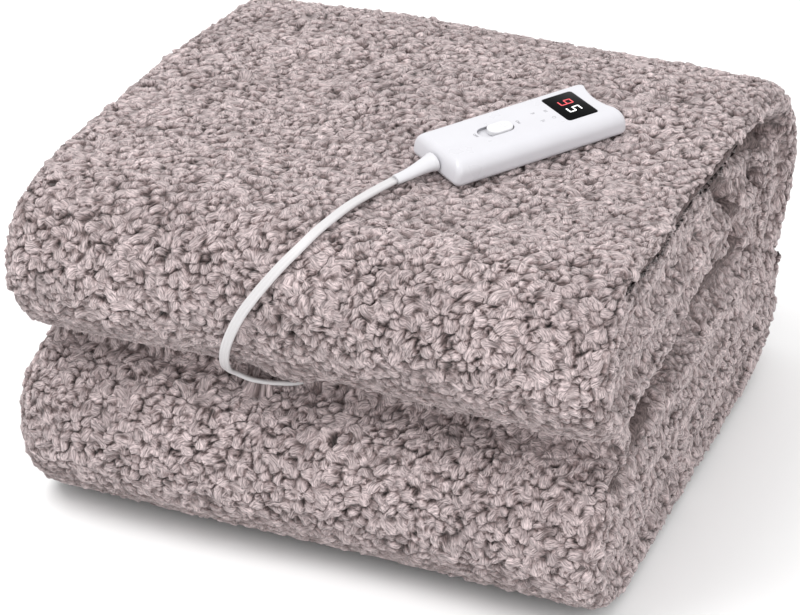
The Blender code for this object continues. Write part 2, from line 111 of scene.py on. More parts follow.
view_right, view_up, view_back = camera_axes()
bpy.ops.object.camera_add()
camera = bpy.context.object
camera.data.lens = LENS_MM
camera_turn = Matrix((view_right, view_up, view_back)).transposed().to_4x4()
camera_place = AIM + view_right * AIM_RIGHT + view_up * AIM_UP + view_back * VIEW_DISTANCE
camera.matrix_world = Matrix.Translation(camera_place) @ camera_turn
bpy.context.scene.camera = camera
print("camera at", [round(value, 3) for value in camera_place])

# %% [markdown]
# ## The handset's own axes
#
# The handset lies askew on the pile. All its pieces are made upright at the
# origin, where sizes are easy to read, and then go to their place together.
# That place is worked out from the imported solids: the switch slides along the
# handset, and the thinnest way through the window is square to its face.

# %% Axes and sizes of the handset, read from the frame


def points_of(node):
    """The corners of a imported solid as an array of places."""
    mesh = frame["nodes"][node].data
    flat = np.zeros(len(mesh.vertices) * 3)
    mesh.vertices.foreach_get("co", flat)
    return flat.reshape(-1, 3)


def handset_matrix():
    """X towards the display, Z off the cloth, origin under the case's middle."""
    window = points_of("display_window")
    away = Vector(np.linalg.svd(window - window.mean(0), full_matrices=False)[2][2])
    away *= 1 if away.z > 0 else -1
    slide = frame["joints"][0]["axis"]
    along = -Vector(slide)
    along = (along - away * along.dot(away)).normalized()
    across = away.cross(along)
    axes = np.array((along, across, away))
    case = points_of("handset_case") @ axes.T
    low, high = case.min(0), case.max(0)
    seat = np.array(((low[0] + high[0]) / 2, (low[1] + high[1]) / 2, low[2])) @ axes
    turn = Matrix(axes.tolist()).transposed().to_4x4()
    return Matrix.Translation(Vector(seat)) @ turn, high - low


def box_in_handset(node):
    """Lowest and highest corner of a solid along the handset's axes."""
    inverse = np.array(HANDSET.inverted())
    places = points_of(node) @ inverse[:3, :3].T + inverse[:3, 3]
    return places.min(0), places.max(0)


HANDSET, CASE_SIZE = handset_matrix()
CASE_LENGTH, CASE_WIDTH, CASE_HEIGHT = (float(value) for value in CASE_SIZE)
print("handset, mm:", [round(value / MM, 1) for value in CASE_SIZE])

# %% [markdown]
# ## The cord's line
#
# A cord is a fixed length of something flexible, so its line comes before its
# shape. Its points were placed one by one: out of the sleeve, over the top, down
# the front of the upper roll, and into the gap between the bundles to the seam
# where it is sewn in. They are the frame's own route, and one smooth curve
# runs through all of them.

# %% The route
CORD_ROUTE = (
    (0.0248, -0.0983, 0.2351),
    (0.0204, -0.1096, 0.2344),
    (0.0167, -0.1234, 0.2344),
    (0.0134, -0.1410, 0.2350),
    (0.0103, -0.1571, 0.2339),
    (0.0052, -0.1704, 0.2298),
    (-0.0005, -0.1813, 0.2232),
    (-0.0080, -0.1892, 0.2145),
    (-0.0160, -0.1957, 0.2039),
    (-0.0233, -0.1993, 0.1935),
    (-0.0304, -0.2013, 0.1823),
    (-0.0366, -0.2011, 0.1706),
    (-0.0428, -0.1983, 0.1573),
    (-0.0473, -0.1933, 0.1460),
    (-0.0508, -0.1864, 0.1357),
    (-0.0538, -0.1767, 0.1257),
    (-0.0511, -0.1695, 0.1194),
    (-0.0445, -0.1651, 0.1146),
    (-0.0351, -0.1624, 0.1131),
    (-0.0262, -0.1612, 0.1138),
    (-0.0148, -0.1562, 0.1143),
    (-0.0050, -0.1430, 0.1166),
    (-0.0020, -0.1220, 0.1171),
    (-0.0020, -0.0990, 0.1174),
    (-0.0080, -0.0750, 0.1177),
    (-0.0350, -0.0450, 0.1181),
    (-0.0750, -0.0350, 0.1180),
    (-0.1120, -0.0100, 0.1180),
    (-0.1220, 0.0300, 0.1180),
    (-0.0980, 0.0660, 0.1184),
    (-0.0550, 0.0780, 0.1187),
    (-0.0100, 0.0620, 0.1184),
    (0.0250, 0.0300, 0.1183),
    (0.0620, 0.0080, 0.1180),
    (0.1020, 0.0100, 0.1176),
    (0.1280, 0.0380, 0.1176),
    (0.1320, 0.0750, 0.1178),
    (0.1300, 0.0980, 0.1177),
)
CORD_STATIONS = 330
FINE_STEPS = 24


def smooth_line(route, count):
    """Places at even distances along one smooth curve through the route."""
    points = np.array(route)
    ends = np.vstack((2 * points[0] - points[1], points, 2 * points[-1] - points[-2]))
    share = (np.arange(FINE_STEPS) / FINE_STEPS)[:, None]
    fine = []
    for before, start, stop, after in zip(ends, ends[1:], ends[2:], ends[3:]):
        leave = (stop - before) / 2 * (share - 2 * share ** 2 + share ** 3)
        arrive = (after - start) / 2 * (share ** 3 - share ** 2)
        ease = 3 * share ** 2 - 2 * share ** 3
        fine.append(start * (1 - ease) + stop * ease + leave + arrive)
    fine = np.vstack((*fine, points[-1:]))
    walked = np.concatenate(((0,), np.cumsum(np.linalg.norm(np.diff(fine, axis=0), axis=1))))
    wanted = np.linspace(0, walked[-1], count)
    places = [np.interp(wanted, walked, fine[:, axis]) for axis in range(3)]
    return np.stack(places, 1), float(walked[-1])


cord_line, CORD_LENGTH = smooth_line(CORD_ROUTE, CORD_STATIONS)
print("cord, m:", round(CORD_LENGTH, 3))

# %% [markdown]
# ## Helpers for modelling
#
# Operators act on whatever is selected, so each piece starts with nothing else
# selected. Edges are picked in code by their place, as one would click them.

# %% Helpers


def only(piece):
    """Make piece the one selected and active object."""
    bpy.ops.object.select_all(action="DESELECT")
    piece.select_set(True)
    bpy.context.view_layer.objects.active = piece


def named(name):
    """Name the object that an operator has just made, and its mesh."""
    piece = bpy.context.object
    piece.name = name
    piece.data.name = name
    return piece


def fresh(name, operator, **settings):
    """Add one new object by an operator, and name it."""
    bpy.ops.object.select_all(action="DESELECT")
    operator(**settings)
    return named(name)


def edit_all(piece):
    """Open a piece in edit mode with all of it selected."""
    only(piece)
    bpy.ops.object.mode_set(mode="EDIT")
    bpy.ops.mesh.select_all(action="SELECT")


def leave_edit():
    bpy.ops.object.mode_set(mode="OBJECT")


def face_outwards():
    """In edit mode, turn all faces outwards, and leave it."""
    bpy.ops.mesh.select_all(action="SELECT")
    bpy.ops.mesh.normals_make_consistent(inside=False)
    leave_edit()


def joined(pieces, name):
    """Join pieces into the first of them."""
    bpy.ops.object.select_all(action="DESELECT")
    for piece in pieces:
        piece.select_set(True)
    bpy.context.view_layer.objects.active = pieces[0]
    bpy.ops.object.join()
    return named(name)


def select_edges(piece, test):
    """In edit mode, select the edges for which test(first, second) holds."""
    bpy.ops.mesh.select_mode(type="EDGE")
    bpy.ops.mesh.select_all(action="DESELECT")
    work = bmesh.from_edit_mesh(piece.data)
    for edge in work.edges:
        edge.select_set(bool(test(edge.verts[0].co, edge.verts[1].co)))
    bmesh.update_edit_mesh(piece.data)


def apply_modifier(piece, kind, **settings):
    """Add one modifier, set it up and apply it."""
    only(piece)
    modifier = piece.modifiers.new(kind.title(), kind)
    for name, value in settings.items():
        setattr(modifier, name, value)
    bpy.ops.object.modifier_apply(modifier=modifier.name)


def bevelled(piece, width, segments, angle=50):
    """Round the edges of a piece that are sharper than an angle in degrees."""
    apply_modifier(
        piece, "BEVEL", width=width, segments=segments, limit_method="ANGLE", angle_limit=math.radians(angle),
    )


def place_on_handset(piece, body, replaced=()):
    """Turn a piece that was made upright to its place, and let it ride."""
    piece.data.transform(HANDSET)
    piece.data.update()
    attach(piece, body)
    if replaced:
        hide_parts(*replaced)


def triangle_count(piece):
    piece.data.calc_loop_triangles()
    return len(piece.data.loop_triangles)


# %% [markdown]
# ## The cloth under the pile
#
# Pile grows out of a backing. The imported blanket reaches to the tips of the
# pile, so the backing is its copy, drawn in by more than the height of the
# pile. The copy's loose triangles are merged first, because every later step
# needs faces that share their corners.

# %% Backing
BACKING_DEPTH = 7.0 * MM
MERGE = 0.001 * MM
FLOOR_MARGIN = 8 * MM

backing = frame["nodes"]["blanket"].copy()
backing.data = backing.data.copy()
backing.name = "backing"
for key in list(backing.keys()):
    del backing[key]
bpy.context.scene.collection.objects.link(backing)
backing.parent = None
edit_all(backing)
bpy.ops.mesh.remove_doubles(threshold=MERGE)
leave_edit()
skin = backing.copy()
skin.data = backing.data.copy()
bpy.context.scene.collection.objects.link(skin)
edit_all(backing)
bpy.ops.transform.shrink_fatten(value=-BACKING_DEPTH)
leave_edit()
bpy.ops.object.shade_smooth()
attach(backing, "fold")
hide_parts("blanket")
print("backing:", triangle_count(backing), "triangles")

# %% [markdown]
# ## A fine skin
#
# The pile is one skin with thousands of small rounded clumps. Seen from
# outside it also closes the thin slits between the layers, as the pile of two
# layers mats together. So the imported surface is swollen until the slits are
# shut, remeshed in small even faces, and shrunk back by as much.

# %% Remesh
CLOSE = 4.0 * MM
VOXEL = 1.36 * MM
SMOOTH_ROUNDS = 7


def unit(vectors):
    return vectors / np.maximum(np.linalg.norm(vectors, axis=-1, keepdims=True), 1e-12)


def mesh_arrays(mesh):
    """Corner places and triangles of a mesh."""
    mesh.calc_loop_triangles()
    points = np.zeros(len(mesh.vertices) * 3)
    mesh.vertices.foreach_get("co", points)
    triangles = np.zeros(len(mesh.loop_triangles) * 3, np.int64)
    mesh.loop_triangles.foreach_get("vertices", triangles)
    return points.reshape(-1, 3), triangles.reshape(-1, 3)


def gathered(numbers, values, count):
    """Sum of the rows of values that go to each number."""
    return np.stack([np.bincount(numbers, values[:, axis], count) for axis in range(3)], 1)


def vertex_normals(points, triangles):
    """Smooth normals, each face weighted by its area."""
    a, b, c = (points[triangles[:, side]] for side in range(3))
    faces = np.cross(b - a, c - a)
    return unit(sum(gathered(triangles[:, side], faces, len(points)) for side in range(3)))


def edges_of(triangles, count):
    """Each edge once, and for each triangle the numbers of its three edges."""
    pairs = np.stack((triangles, np.roll(triangles, -1, 1)), 2).reshape(-1, 2)
    unique, place = np.unique(pairs.min(1) * count + pairs.max(1), return_inverse=True)
    return np.stack((unique // count, unique % count), 1), place.reshape(-1, 3)


def smoothed(points, triangles, rounds):
    """Move all corners to the middle of their neighbours, over and over."""
    edges = edges_of(triangles, len(points))[0]
    count = np.bincount(edges.ravel(), minlength=len(points))[:, None]
    for _ in range(rounds):
        total = gathered(edges[:, 0], points[edges[:, 1]], len(points))
        total += gathered(edges[:, 1], points[edges[:, 0]], len(points))
        points = total / np.maximum(count, 1)
    return points


packed_points, packed_triangles = mesh_arrays(skin.data)
packed_tree = BVHTree.FromPolygons(packed_points.tolist(), packed_triangles.tolist())
edit_all(skin)
bpy.ops.transform.shrink_fatten(value=CLOSE)
leave_edit()
apply_modifier(skin, "REMESH", mode="VOXEL", voxel_size=VOXEL)
points, triangles = mesh_arrays(skin.data)
points = smoothed(points, triangles, SMOOTH_ROUNDS)
points = points - vertex_normals(points, triangles) * CLOSE
points = smoothed(points, triangles, SMOOTH_ROUNDS)
normals = vertex_normals(points, triangles)
bpy.data.objects.remove(skin)
print("skin:", len(points), "corners,", len(triangles), "triangles")

# %% [markdown]
# ## Creases at the ends
#
# At its ends the fold shows two deep creases: one below the top layer, and one
# between the bundles. A tongue of cloth bulges between them. The creases are
# pressed in along given lines, as one would with a sculpting tool.

# %% Press the creases
# Places on an end face, from front to back: y and z in mm.
TOP_CREASE = ((-150, 213), (-136, 214), (-62, 217), (27, 220), (72, 211), (120, 197), (158, 184))
TONGUE_BACK = ((27, 222), (53, 196), (73, 175), (84, 149), (82, 127), (50, 131))
LOW_CREASE = ((50, 131), (-28, 125), (-86, 113), (-140, 94), (-165, 92))
CREASES = ((TOP_CREASE, 19.0), (TONGUE_BACK, 14.0), (LOW_CREASE, 15.0))   # lines and depths in mm
CREASE_WIDTH = 8.0 * MM
CREASE_REACH = 34 * MM      # corners further from the end than this are left alone
CREASE_ROUNDS = 4
# The upper roll sags a little where the cord goes in under it.
SAG_PLACE = (-0.016, -0.165, 0.125)
SAG_REACH = 30 * MM
SAG = 6.5 * MM


def distance_to(line, places):
    """Distance in the end's plane from each place to a line of points."""
    line = np.array(line) * MM
    nearest = np.full(len(places), 1.0)
    for start, stop in zip(line, line[1:]):
        way = stop - start
        share = np.clip(((places - start) @ way) / (way @ way), 0, 1)
        off = np.linalg.norm(places - start - share[:, None] * way, axis=1)
        nearest = np.minimum(nearest, off)
    return nearest


def eased(values, low, high):
    """0 up to low and 1 from high on, with a soft start and end."""
    share = np.clip((values - low) / (high - low), 0, 1)
    return share * share * (3 - 2 * share)


half_length = max(abs(CAD_BOX[0][0]), abs(CAD_BOX[1][0]))
at_end = np.flatnonzero(np.abs(points[:, 0]) > half_length - CREASE_REACH)
facing = np.abs(normals[at_end, 0])
pressing = np.zeros(len(at_end))
for line, deep in CREASES:
    off = distance_to(line, points[at_end][:, 1:]) / CREASE_WIDTH
    pressing = np.maximum(pressing, deep * MM * np.exp(-off ** 2))
points[at_end, 0] -= np.sign(points[at_end, 0]) * pressing * eased(facing, 0.2, 0.8)
creased = np.zeros(len(points))
creased[at_end] = pressing / pressing.max() * eased(facing, 0.1, 0.5)
off = np.linalg.norm(points - SAG_PLACE, axis=1)
sagging = eased(-normals[:, 2], -0.2, 0.2) * (1 - eased(off, 0, SAG_REACH))
points = points + normals * (SAG * sagging)[:, None]
points = smoothed(points, triangles, CREASE_ROUNDS)
normals = vertex_normals(points, triangles)
seen = ~((points[:, 2] < FLOOR_MARGIN) & (normals[:, 2] < -0.6))
print("corners in the creases:", int((pressing > 3 * MM).sum()))

# %% [markdown]
# ## Where the clumps stand
#
# Teddy pile is thousands of small curled clumps. Random places alone would
# leave bald spots and heaps, so they are thinned: going through many
# candidates in random order, each one that stays pushes out its neighbours.

# %% Scatter
SEED = 7
CANDIDATES = 110000
CLUMP_SPACING = 5.0 * MM
rng = np.random.default_rng(SEED)
seed_set(SEED)              # or else the noise starts from the clock


def kd_tree(places):
    tree = KDTree(len(places))
    for number, place in enumerate(places.tolist()):
        tree.insert(place, number)
    tree.balance()
    return tree


def random_places(points, triangles, count):
    """Places spread evenly over some faces, and the nearest corner of each."""
    a, b, c = (points[triangles[:, side]] for side in range(3))
    area = np.linalg.norm(np.cross(b - a, c - a), axis=1)
    chosen = triangles[rng.choice(len(area), count, p=area / area.sum())]
    weights = rng.dirichlet((1.0, 1.0, 1.0), count)
    places = (points[chosen] * weights[:, :, None]).sum(1)
    return places, chosen[np.arange(count), weights.argmax(1)]


def thinned(places, spacing):
    """Which places stay when none may be nearer to another than spacing."""
    tree = kd_tree(places)
    stays = np.ones(len(places), bool)
    for number, place in enumerate(places.tolist()):
        if stays[number]:
            near = [other for _, other, _ in tree.find_range(place, spacing) if other > number]
            stays[near] = False
    return stays


shown = triangles[seen[triangles].all(1)]
clumps, nearest = random_places(points, shown, CANDIDATES)
stays = thinned(clumps, CLUMP_SPACING)
clumps, clump_up = clumps[stays], normals[nearest[stays]]
print("clumps:", len(clumps))

# %% [markdown]
# ## How the clumps lie
#
# Handling and weight comb the pile: whole patches lean one way, and single
# clumps stray from it. A few slow waves over the surface stand for the
# patches. Under the rolls and along the outer edges the pile is brushed smooth,
# and brushed pile is painted lighter: painted light that stands for light
# reflected under the rolls.

# %% Lean, size and tone of each clump
CLUMP_HEIGHT = 5.4 * MM
CLUMP_REACH = 6.2 * MM      # half its width where it is widest
COMB = (0.25, -0.85, -0.55)
ASIDE, AHEAD, BEHIND = 0.88, 0.80, 1.55   # shares of the reach, each way
PATCH_TURN = 1.1            # radians
OWN_TURN = 0.8
BRUSHED_LOWER = 0.25
BRUSHED_LONGER = 0.60
# Painted light: how much lighter brushed pile is painted, standing for light reflected under the rolls.
BRUSHED_PAINTED_LIGHT = 0.16
PATCHES = (((1.0, 0.4, 0.3), 0.110), ((-0.3, 1.0, 0.5), 0.080), ((0.2, -0.6, 1.0), 0.060),
           ((0.9, -0.8, 0.2), 0.045), ((0.3, 0.9, -0.9), 0.034))


def waves(places, table, starts):
    """A slow pattern of about -1 to 1 over the places."""
    total = np.zeros(len(places))
    for (way, length), start in zip(table, starts):
        total += np.sin(2 * math.pi * (places @ np.array(Vector(way).normalized())) / length + start)
    return total / math.sqrt(len(table))


def brushed_share(places, up):
    """1 where the pile is brushed smooth: under the rolls and at the edges."""
    under = eased(-up[:, 2], 0.10, 0.60) * eased(-up[:, 1], -0.2, 0.3)
    aside = np.abs(up[:, 0])
    under += 0.8 * eased(aside, 0.30, 0.55) * (1 - eased(aside, 0.80, 0.95))
    patches = eased(waves(places, PATCHES, (2.2, 5.1, 0.3, 1.9, 4.4)), 0.9, 1.9)
    return np.clip(under + 0.35 * patches, 0, 1)


comb = np.array(COMB)
flow = unit(comb - clump_up * (clump_up @ comb)[:, None] + 1e-4)
cross = np.cross(clump_up, flow)
turn = PATCH_TURN * waves(clumps, PATCHES, (0.4, 2.1, 4.0, 5.5, 1.1))
turn += OWN_TURN * rng.normal(size=len(clumps))
ahead = flow * np.cos(turn)[:, None] + cross * np.sin(turn)[:, None]
aside = np.cross(clump_up, ahead)
brushed = brushed_share(clumps, clump_up)
size = np.clip(1 + 0.15 * rng.normal(size=len(clumps)), 0.65, 1.4)
tall = CLUMP_HEIGHT * np.clip(0.90 + 0.09 * rng.normal(size=len(clumps)), 0.66, 1.08)
tall *= 1 - BRUSHED_LOWER * brushed
reach_aside = CLUMP_REACH * size * (ASIDE + 0.15 * brushed)
reach_ahead = CLUMP_REACH * size * AHEAD
reach_behind = CLUMP_REACH * size * (BEHIND + BRUSHED_LONGER * brushed)
# Tone: slow patches and a random share per clump, the clumps' own colour, plus painted light where the pile
# is brushed.
tone_and_painted_light = 0.5 + 0.13 * waves(clumps, PATCHES, (1.7, 0.2, 3.3, 4.9, 2.8))
tone_and_painted_light = np.clip(tone_and_painted_light + 0.12 * rng.normal(size=len(clumps)) + BRUSHED_PAINTED_LIGHT * brushed, 0.02, 0.98)
print("height of the clumps, mm:", round(float(tall.mean()) / MM, 2))

# %% [markdown]
# ## Raise the clumps
#
# Each clump is a dome with a steep front and a long back, and the pile is the
# highest dome at each place, so that neighbours meet in a sharp crevice, dark
# from its own shadow and from painted shade.
# The domes then lean: the higher a corner, the further it moves ahead, until
# the clumps overlap like flakes. Small lumps and a few coarse strands make each
# clump uneven. Sculpting would do the same by hand, clump after clump.

# %% Sculpt the pile
NEIGHBOURS = 6
DOME_POWER = 0.70
DOME_FALL = 0.35            # how fast a dome's height falls below 0 outside it
LEAN = 2.6 * MM
PILE_TOP = 4.6 * MM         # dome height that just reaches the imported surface
REACH_UP = 6.5 * MM
SPIKE = 1.5 * MM            # a corner further off than this goes back
WISP = 0.10 * MM
LUMP, LUMP_LENGTH = 0.75 * MM, 3.6 * MM
STRAND, STRAND_WIDTH, STRAND_LENGTH = 0.70 * MM, 2.3 * MM, 9.0 * MM
GROOVE = 2.6 * MM           # depth of the open crevices between clumps
GROOVE_WIDTH = 0.95 * MM    # in difference of height between neighbours
GROOVE_PATCH = 8.0 * MM
# Painted shade key: its value at a clump's foot, and how far strands and lumps spread it.
FOOT_KEY = 0.42
KEY_SPREAD = 0.16
CREASE_SHADE = 0.65
WARPS = ((4.2 * MM, 1.3 * MM), (1.9 * MM, 0.55 * MM))   # wave length and shift

rows = np.flatnonzero(seen)
skin_points = points[rows]
clump_tree = kd_tree(clumps)


def noise_at(places):
    """Three smooth random values for each place."""
    return np.array([noise_vector(place) for place in places.tolist()])


warped = skin_points
for length, shift in WARPS:
    warped = warped + shift * noise_at(skin_points / length)
found = [[hit[1] for hit in clump_tree.find_n(place, NEIGHBOURS)] for place in warped.tolist()]
found = np.array(found)


def local_place(place, clump):
    """Places in the clumps' own axes: aside, ahead and up."""
    away = place - clumps[clump]
    axes = (aside, ahead, clump_up)
    return np.stack([(away * axis[clump]).sum(-1) for axis in axes], -1)


heights = []
for column in range(NEIGHBOURS):
    clump = found[:, column]
    side_way, ahead_way, up_way = local_place(warped, clump).T
    along = np.where(ahead_way > 0, reach_ahead[clump], reach_behind[clump])
    distance = (side_way / reach_aside[clump]) ** 2 + (ahead_way / along) ** 2 + (up_way / REACH_UP) ** 2
    dome = np.maximum(1 - distance, 0) ** DOME_POWER - DOME_FALL * np.maximum(distance - 1, 0)
    heights.append(tall[clump] * dome)
heights = np.array(heights)
order = np.argsort(-heights, axis=0)
count = np.arange(len(rows))
best, second = heights[order[0], count], heights[order[1], count]
owner = np.full(len(points), -1)
owner[rows] = found[count, order[0]]
rise = np.zeros(len(points))
rise[rows] = np.maximum(best, 0)
gape = eased(noise_at(skin_points / GROOVE_PATCH)[:, 0], -0.45, 0.35) * (1 - 0.75 * brushed[owner[rows]])
groove = np.zeros(len(points))
groove[rows] = gape * (1 - eased(best - second, 0.0, GROOVE_WIDTH))
share = np.zeros(len(points))
share[rows] = rise[rows] / CLUMP_HEIGHT
rise -= GROOVE * groove
own = local_place(skin_points, owner[rows])
strand_place = own / (STRAND_WIDTH, STRAND_LENGTH, STRAND_LENGTH) + clumps[owner[rows]] / MM
strands = noise_at(strand_place)[:, 0]
lumps = noise_at(skin_points / LUMP_LENGTH)[:, 1]
rise[rows] += (STRAND * strands + LUMP * lumps) * np.clip(share[rows] + 0.3, 0, 1)
wisps = rng.normal(size=len(points)) * WISP * share
sculpted = points + normals * (rise - PILE_TOP + wisps)[:, None]
shift = (LEAN * share ** 2)[:, None]
sculpted[rows] += ahead[owner[rows]] * shift[rows]
relaxed = smoothed(sculpted, triangles, 1)
spike = np.linalg.norm(sculpted - relaxed, axis=1) > SPIKE
sculpted[spike] = relaxed[spike]
# Painted shade as a colour key: 1 at the tips, lower towards the roots,
# in the crevices and in the creases, where shade falls.
painted_shade = (eased(share, 0.30, 0.95) * (1 - FOOT_KEY) + FOOT_KEY) * (1 - 0.90 * groove)
painted_shade[rows] += KEY_SPREAD * (strands + lumps)
painted_shade = np.clip(painted_shade * (1 - CREASE_SHADE * creased), 0, 1)
print("pile sculpted; middle of the colour key:", round(float(np.median(painted_shade[rows])), 3))

# %% [markdown]
# ## Pile under the handset and the cord
#
# What lies on the pile presses it down. Each corner that would reach into the
# handset or the cord is set back to just below it, so the pile closes round
# both without a gap.

# %% Press the pile
PRESS_GAP = 0.25 * MM
CORD_WIDTH = 6.5 * MM
CORD_THICK = 3.3 * MM
NEAR_CORD = 9 * MM
HIDDEN_FROM = 0.276         # share of the cord's length from which pile covers it
TWIST = ((0.220, 0.250), (0.295, 0.325))   # shares where it turns on edge and back
CORD_SHOULDER = 1.5 * MM
LIFT_ROUNDS = 6             # evens out how the cord turns
CASE_MARGIN = (1.0 * MM, 2.4 * MM)   # ends and sides of the case that press nothing
CASE_ROOM = 30 * MM

inverse = np.array(HANDSET.inverted())
turned = np.array(HANDSET)
local = sculpted @ inverse[:3, :3].T + inverse[:3, 3]
over = np.abs(local[:, 0]) < CASE_LENGTH / 2 - CASE_MARGIN[0]
over &= np.abs(local[:, 1]) < CASE_WIDTH / 2 - CASE_MARGIN[1]
over &= (local[:, 2] > -PRESS_GAP) & (local[:, 2] < CASE_ROOM)
local[over, 2] = -PRESS_GAP
sculpted[over] = local[over] @ turned[:3, :3].T + turned[:3, 3]
print("corners under the handset:", int(over.sum()))


def frames_along(line, tree):
    """Side and lift of the cord at each station, laid on the cloth."""
    path = unit(np.gradient(line, axis=0))
    lift = np.array([place - np.array(tree.find_nearest(place)[0]) for place in line])
    for _ in range(LIFT_ROUNDS):
        lift = unit(lift)
        lift[1:-1] = (lift[:-2] + lift[1:-1] + lift[2:]) / 3
    side = unit(np.cross(path, lift))
    share = np.linspace(0, 1, len(line))
    on_edge = (eased(share, *TWIST[0]) - eased(share, *TWIST[1]))[:, None]
    start, end = (int(turn[0] * len(line)) for turn in TWIST)
    view = np.array(view_back) * np.sign(side[start] @ np.array(view_back))
    side[end:] *= np.sign(side[end] @ view)
    side = unit(side * (1 - on_edge) + view * on_edge)
    side = unit(side - path * (side * path).sum(1)[:, None])
    return side, np.cross(side, path)


cord_side, cord_lift = frames_along(cord_line, packed_tree)
skin_tree = kd_tree(sculpted[rows])
closest = np.full(len(rows), NEAR_CORD)
station = np.zeros(len(rows), int)
for number, place in enumerate(cord_line.tolist()):
    for _, corner, distance in skin_tree.find_range(place, NEAR_CORD):
        if distance < closest[corner]:
            closest[corner], station[corner] = distance, number
near = closest < NEAR_CORD
corner, station = rows[near], station[near]
away = sculpted[corner] - cord_line[station]
sideways = np.abs((away * cord_side[station]).sum(1))
height = (away * cord_lift[station]).sum(1)
shows = station < HIDDEN_FROM * CORD_STATIONS
slope = np.maximum(sideways - CORD_WIDTH / 2, 0) / CORD_SHOULDER
limit = -CORD_THICK / 2 - PRESS_GAP + slope * CORD_THICK
press = shows & (slope < 1) & (height > limit)
sculpted[corner[press]] += cord_lift[station[press]] * (limit - height)[press, None]
print("corners under the cord:", int(press.sum()))

# %% [markdown]
# ## Cut the skin into pieces
#
# One mesh of all the pile would be too large to work with, so it is cut into
# one piece for each side. They meet corner to corner and keep the normals of
# the whole skin, so no seam shows, and each piece's rim turns inwards.

# %% Pieces of pile
LEAST_HEIGHT = 0.3 * MM
RIM = 9 * MM
SKIRT = 2.0 * MM
FIBRE_UNIT = 10 * MM
MAP_MARGIN = 0.02
CREASE = 0.128              # height between the two bundles
HOLLOW_TOP = 0.17
half = half_length - RIM
place, up = points[shown].mean(1).T, unit(normals[shown].mean(1)).T
# Name, map axes, and which faces a piece takes of those that are still free.
SIDES = (
    ("right", (1, 2), (place[0] > half) | (up[0] > 0.75)),
    ("left", (1, 2), (place[0] < -half) | (up[0] < -0.75)),
    ("back", (0, 2), up[1] > 0.6),
    ("lower_roll", (0, 2), (place[2] < CREASE) & (up[2] < 0.8) & (place[1] < 0)),
    ("upper_roll", (0, 2), (up[1] < -0.5) & (place[1] < 0)),
    ("crease", (0, 1), place[2] < HOLLOW_TOP),
    ("top_left", (0, 1), place[0] < 0),
    ("top_right", (0, 1), place[0] >= 0),
)
final_normals = vertex_normals(sculpted, triangles)
turns = rng.normal(size=len(clumps)) * 0.9
offsets = rng.random((len(clumps), 2)) * 50


def fibre_places(corners, clump):
    """Each corner's place along and across the curved fibres of its clump."""
    local = local_place(points[corners], np.repeat(clump[:, None], 3, 1)) / FIBRE_UNIT
    across = local[:, :, 0] + turns[clump][:, None] * local[:, :, 1] ** 2
    return np.stack((across, local[:, :, 1]), 2) + offsets[clump][:, None]


def skirted(faces):
    """Faces that turn a patch's open rim inwards, and the corners they double."""
    edges, sides = edges_of(faces, len(points))
    once = np.bincount(sides.ravel(), minlength=len(edges)) == 1
    starts = np.stack((faces, np.roll(faces, -1, 1)), 2)[once[sides]]
    rim, place = np.unique(starts, return_inverse=True)
    return rim, starts, place.reshape(-1, 2)


def pile_piece(name, map_axes, faces):
    """One closed-in piece of the skin, with its maps and its colour keys."""
    used, local_faces = np.unique(faces, return_inverse=True)
    local_faces = local_faces.reshape(-1, 3)
    number = np.full(len(points), -1)
    number[used] = np.arange(len(used))
    rim, starts, place = skirted(faces)
    inner = len(used) + place
    outer = number[starts]
    skirt = np.vstack((
        np.stack((outer[:, 1], outer[:, 0], inner[:, 0]), 1),
        np.stack((outer[:, 1], inner[:, 0], inner[:, 1]), 1),
    ))
    corners = np.vstack((sculpted[used], sculpted[rim] - final_normals[rim] * SKIRT))
    corners[:, 2] = np.maximum(corners[:, 2], LEAST_HEIGHT)
    source = np.concatenate((used, rim))
    all_faces = np.vstack((local_faces, skirt))
    mesh = bpy.data.meshes.new(name)
    mesh.from_pydata(corners.tolist(), [], all_faces.tolist())
    flat = points[source][:, map_axes]
    low, span = flat.min(0), np.ptp(flat, axis=0).max()
    spread = MAP_MARGIN + (flat - low) / span * (1 - 2 * MAP_MARGIN)
    clump = np.maximum(owner[source[all_faces]].max(1), 0)
    fibres = fibre_places(source[all_faces], clump)
    keys = np.stack((painted_shade[source[all_faces]], np.repeat(tone_and_painted_light[clump][:, None], 3, 1)), 2)
    for label, values in (("OFBake", spread[all_faces]), ("fibre", fibres), ("depth and tone", keys)):
        layer = mesh.uv_layers.new(name=label)
        layer.uv.foreach_set("vector", values.astype(np.float32).ravel())
    mesh.shade_smooth()
    mesh.normals_split_custom_set_from_vertices(final_normals[source].tolist())
    piece = bpy.data.objects.new(name, mesh)
    bpy.context.scene.collection.objects.link(piece)
    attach(piece, "fold")
    return piece


free = np.ones(len(shown), bool)
pile_pieces = []
for side_name, map_axes, taken in SIDES:
    chosen = free & taken
    free &= ~chosen
    piece = pile_piece(f"pile_{side_name}", map_axes, shown[chosen])
    pile_pieces.append(piece)
    print(piece.name, triangle_count(piece), "triangles")

# %% [markdown]
# ## A fibre effect that several materials use
#
# Fibres are fine streaks along a clump. The same streaks raise the surface a
# little and lighten it, so they are one node group that puts out a value. It
# reads the map that unrolls each clump, stretched along its length.

# %% Fibre group


def new_group(name, inputs, outputs):
    """An empty shader node group with its sockets."""
    group = bpy.data.node_groups.new(name, "ShaderNodeTree")
    for label, kind, value in inputs:
        socket = group.interface.new_socket(label, in_out="INPUT", socket_type=kind)
        if value is not None:
            socket.default_value = value
    for label, kind in outputs:
        group.interface.new_socket(label, in_out="OUTPUT", socket_type=kind)
    return group


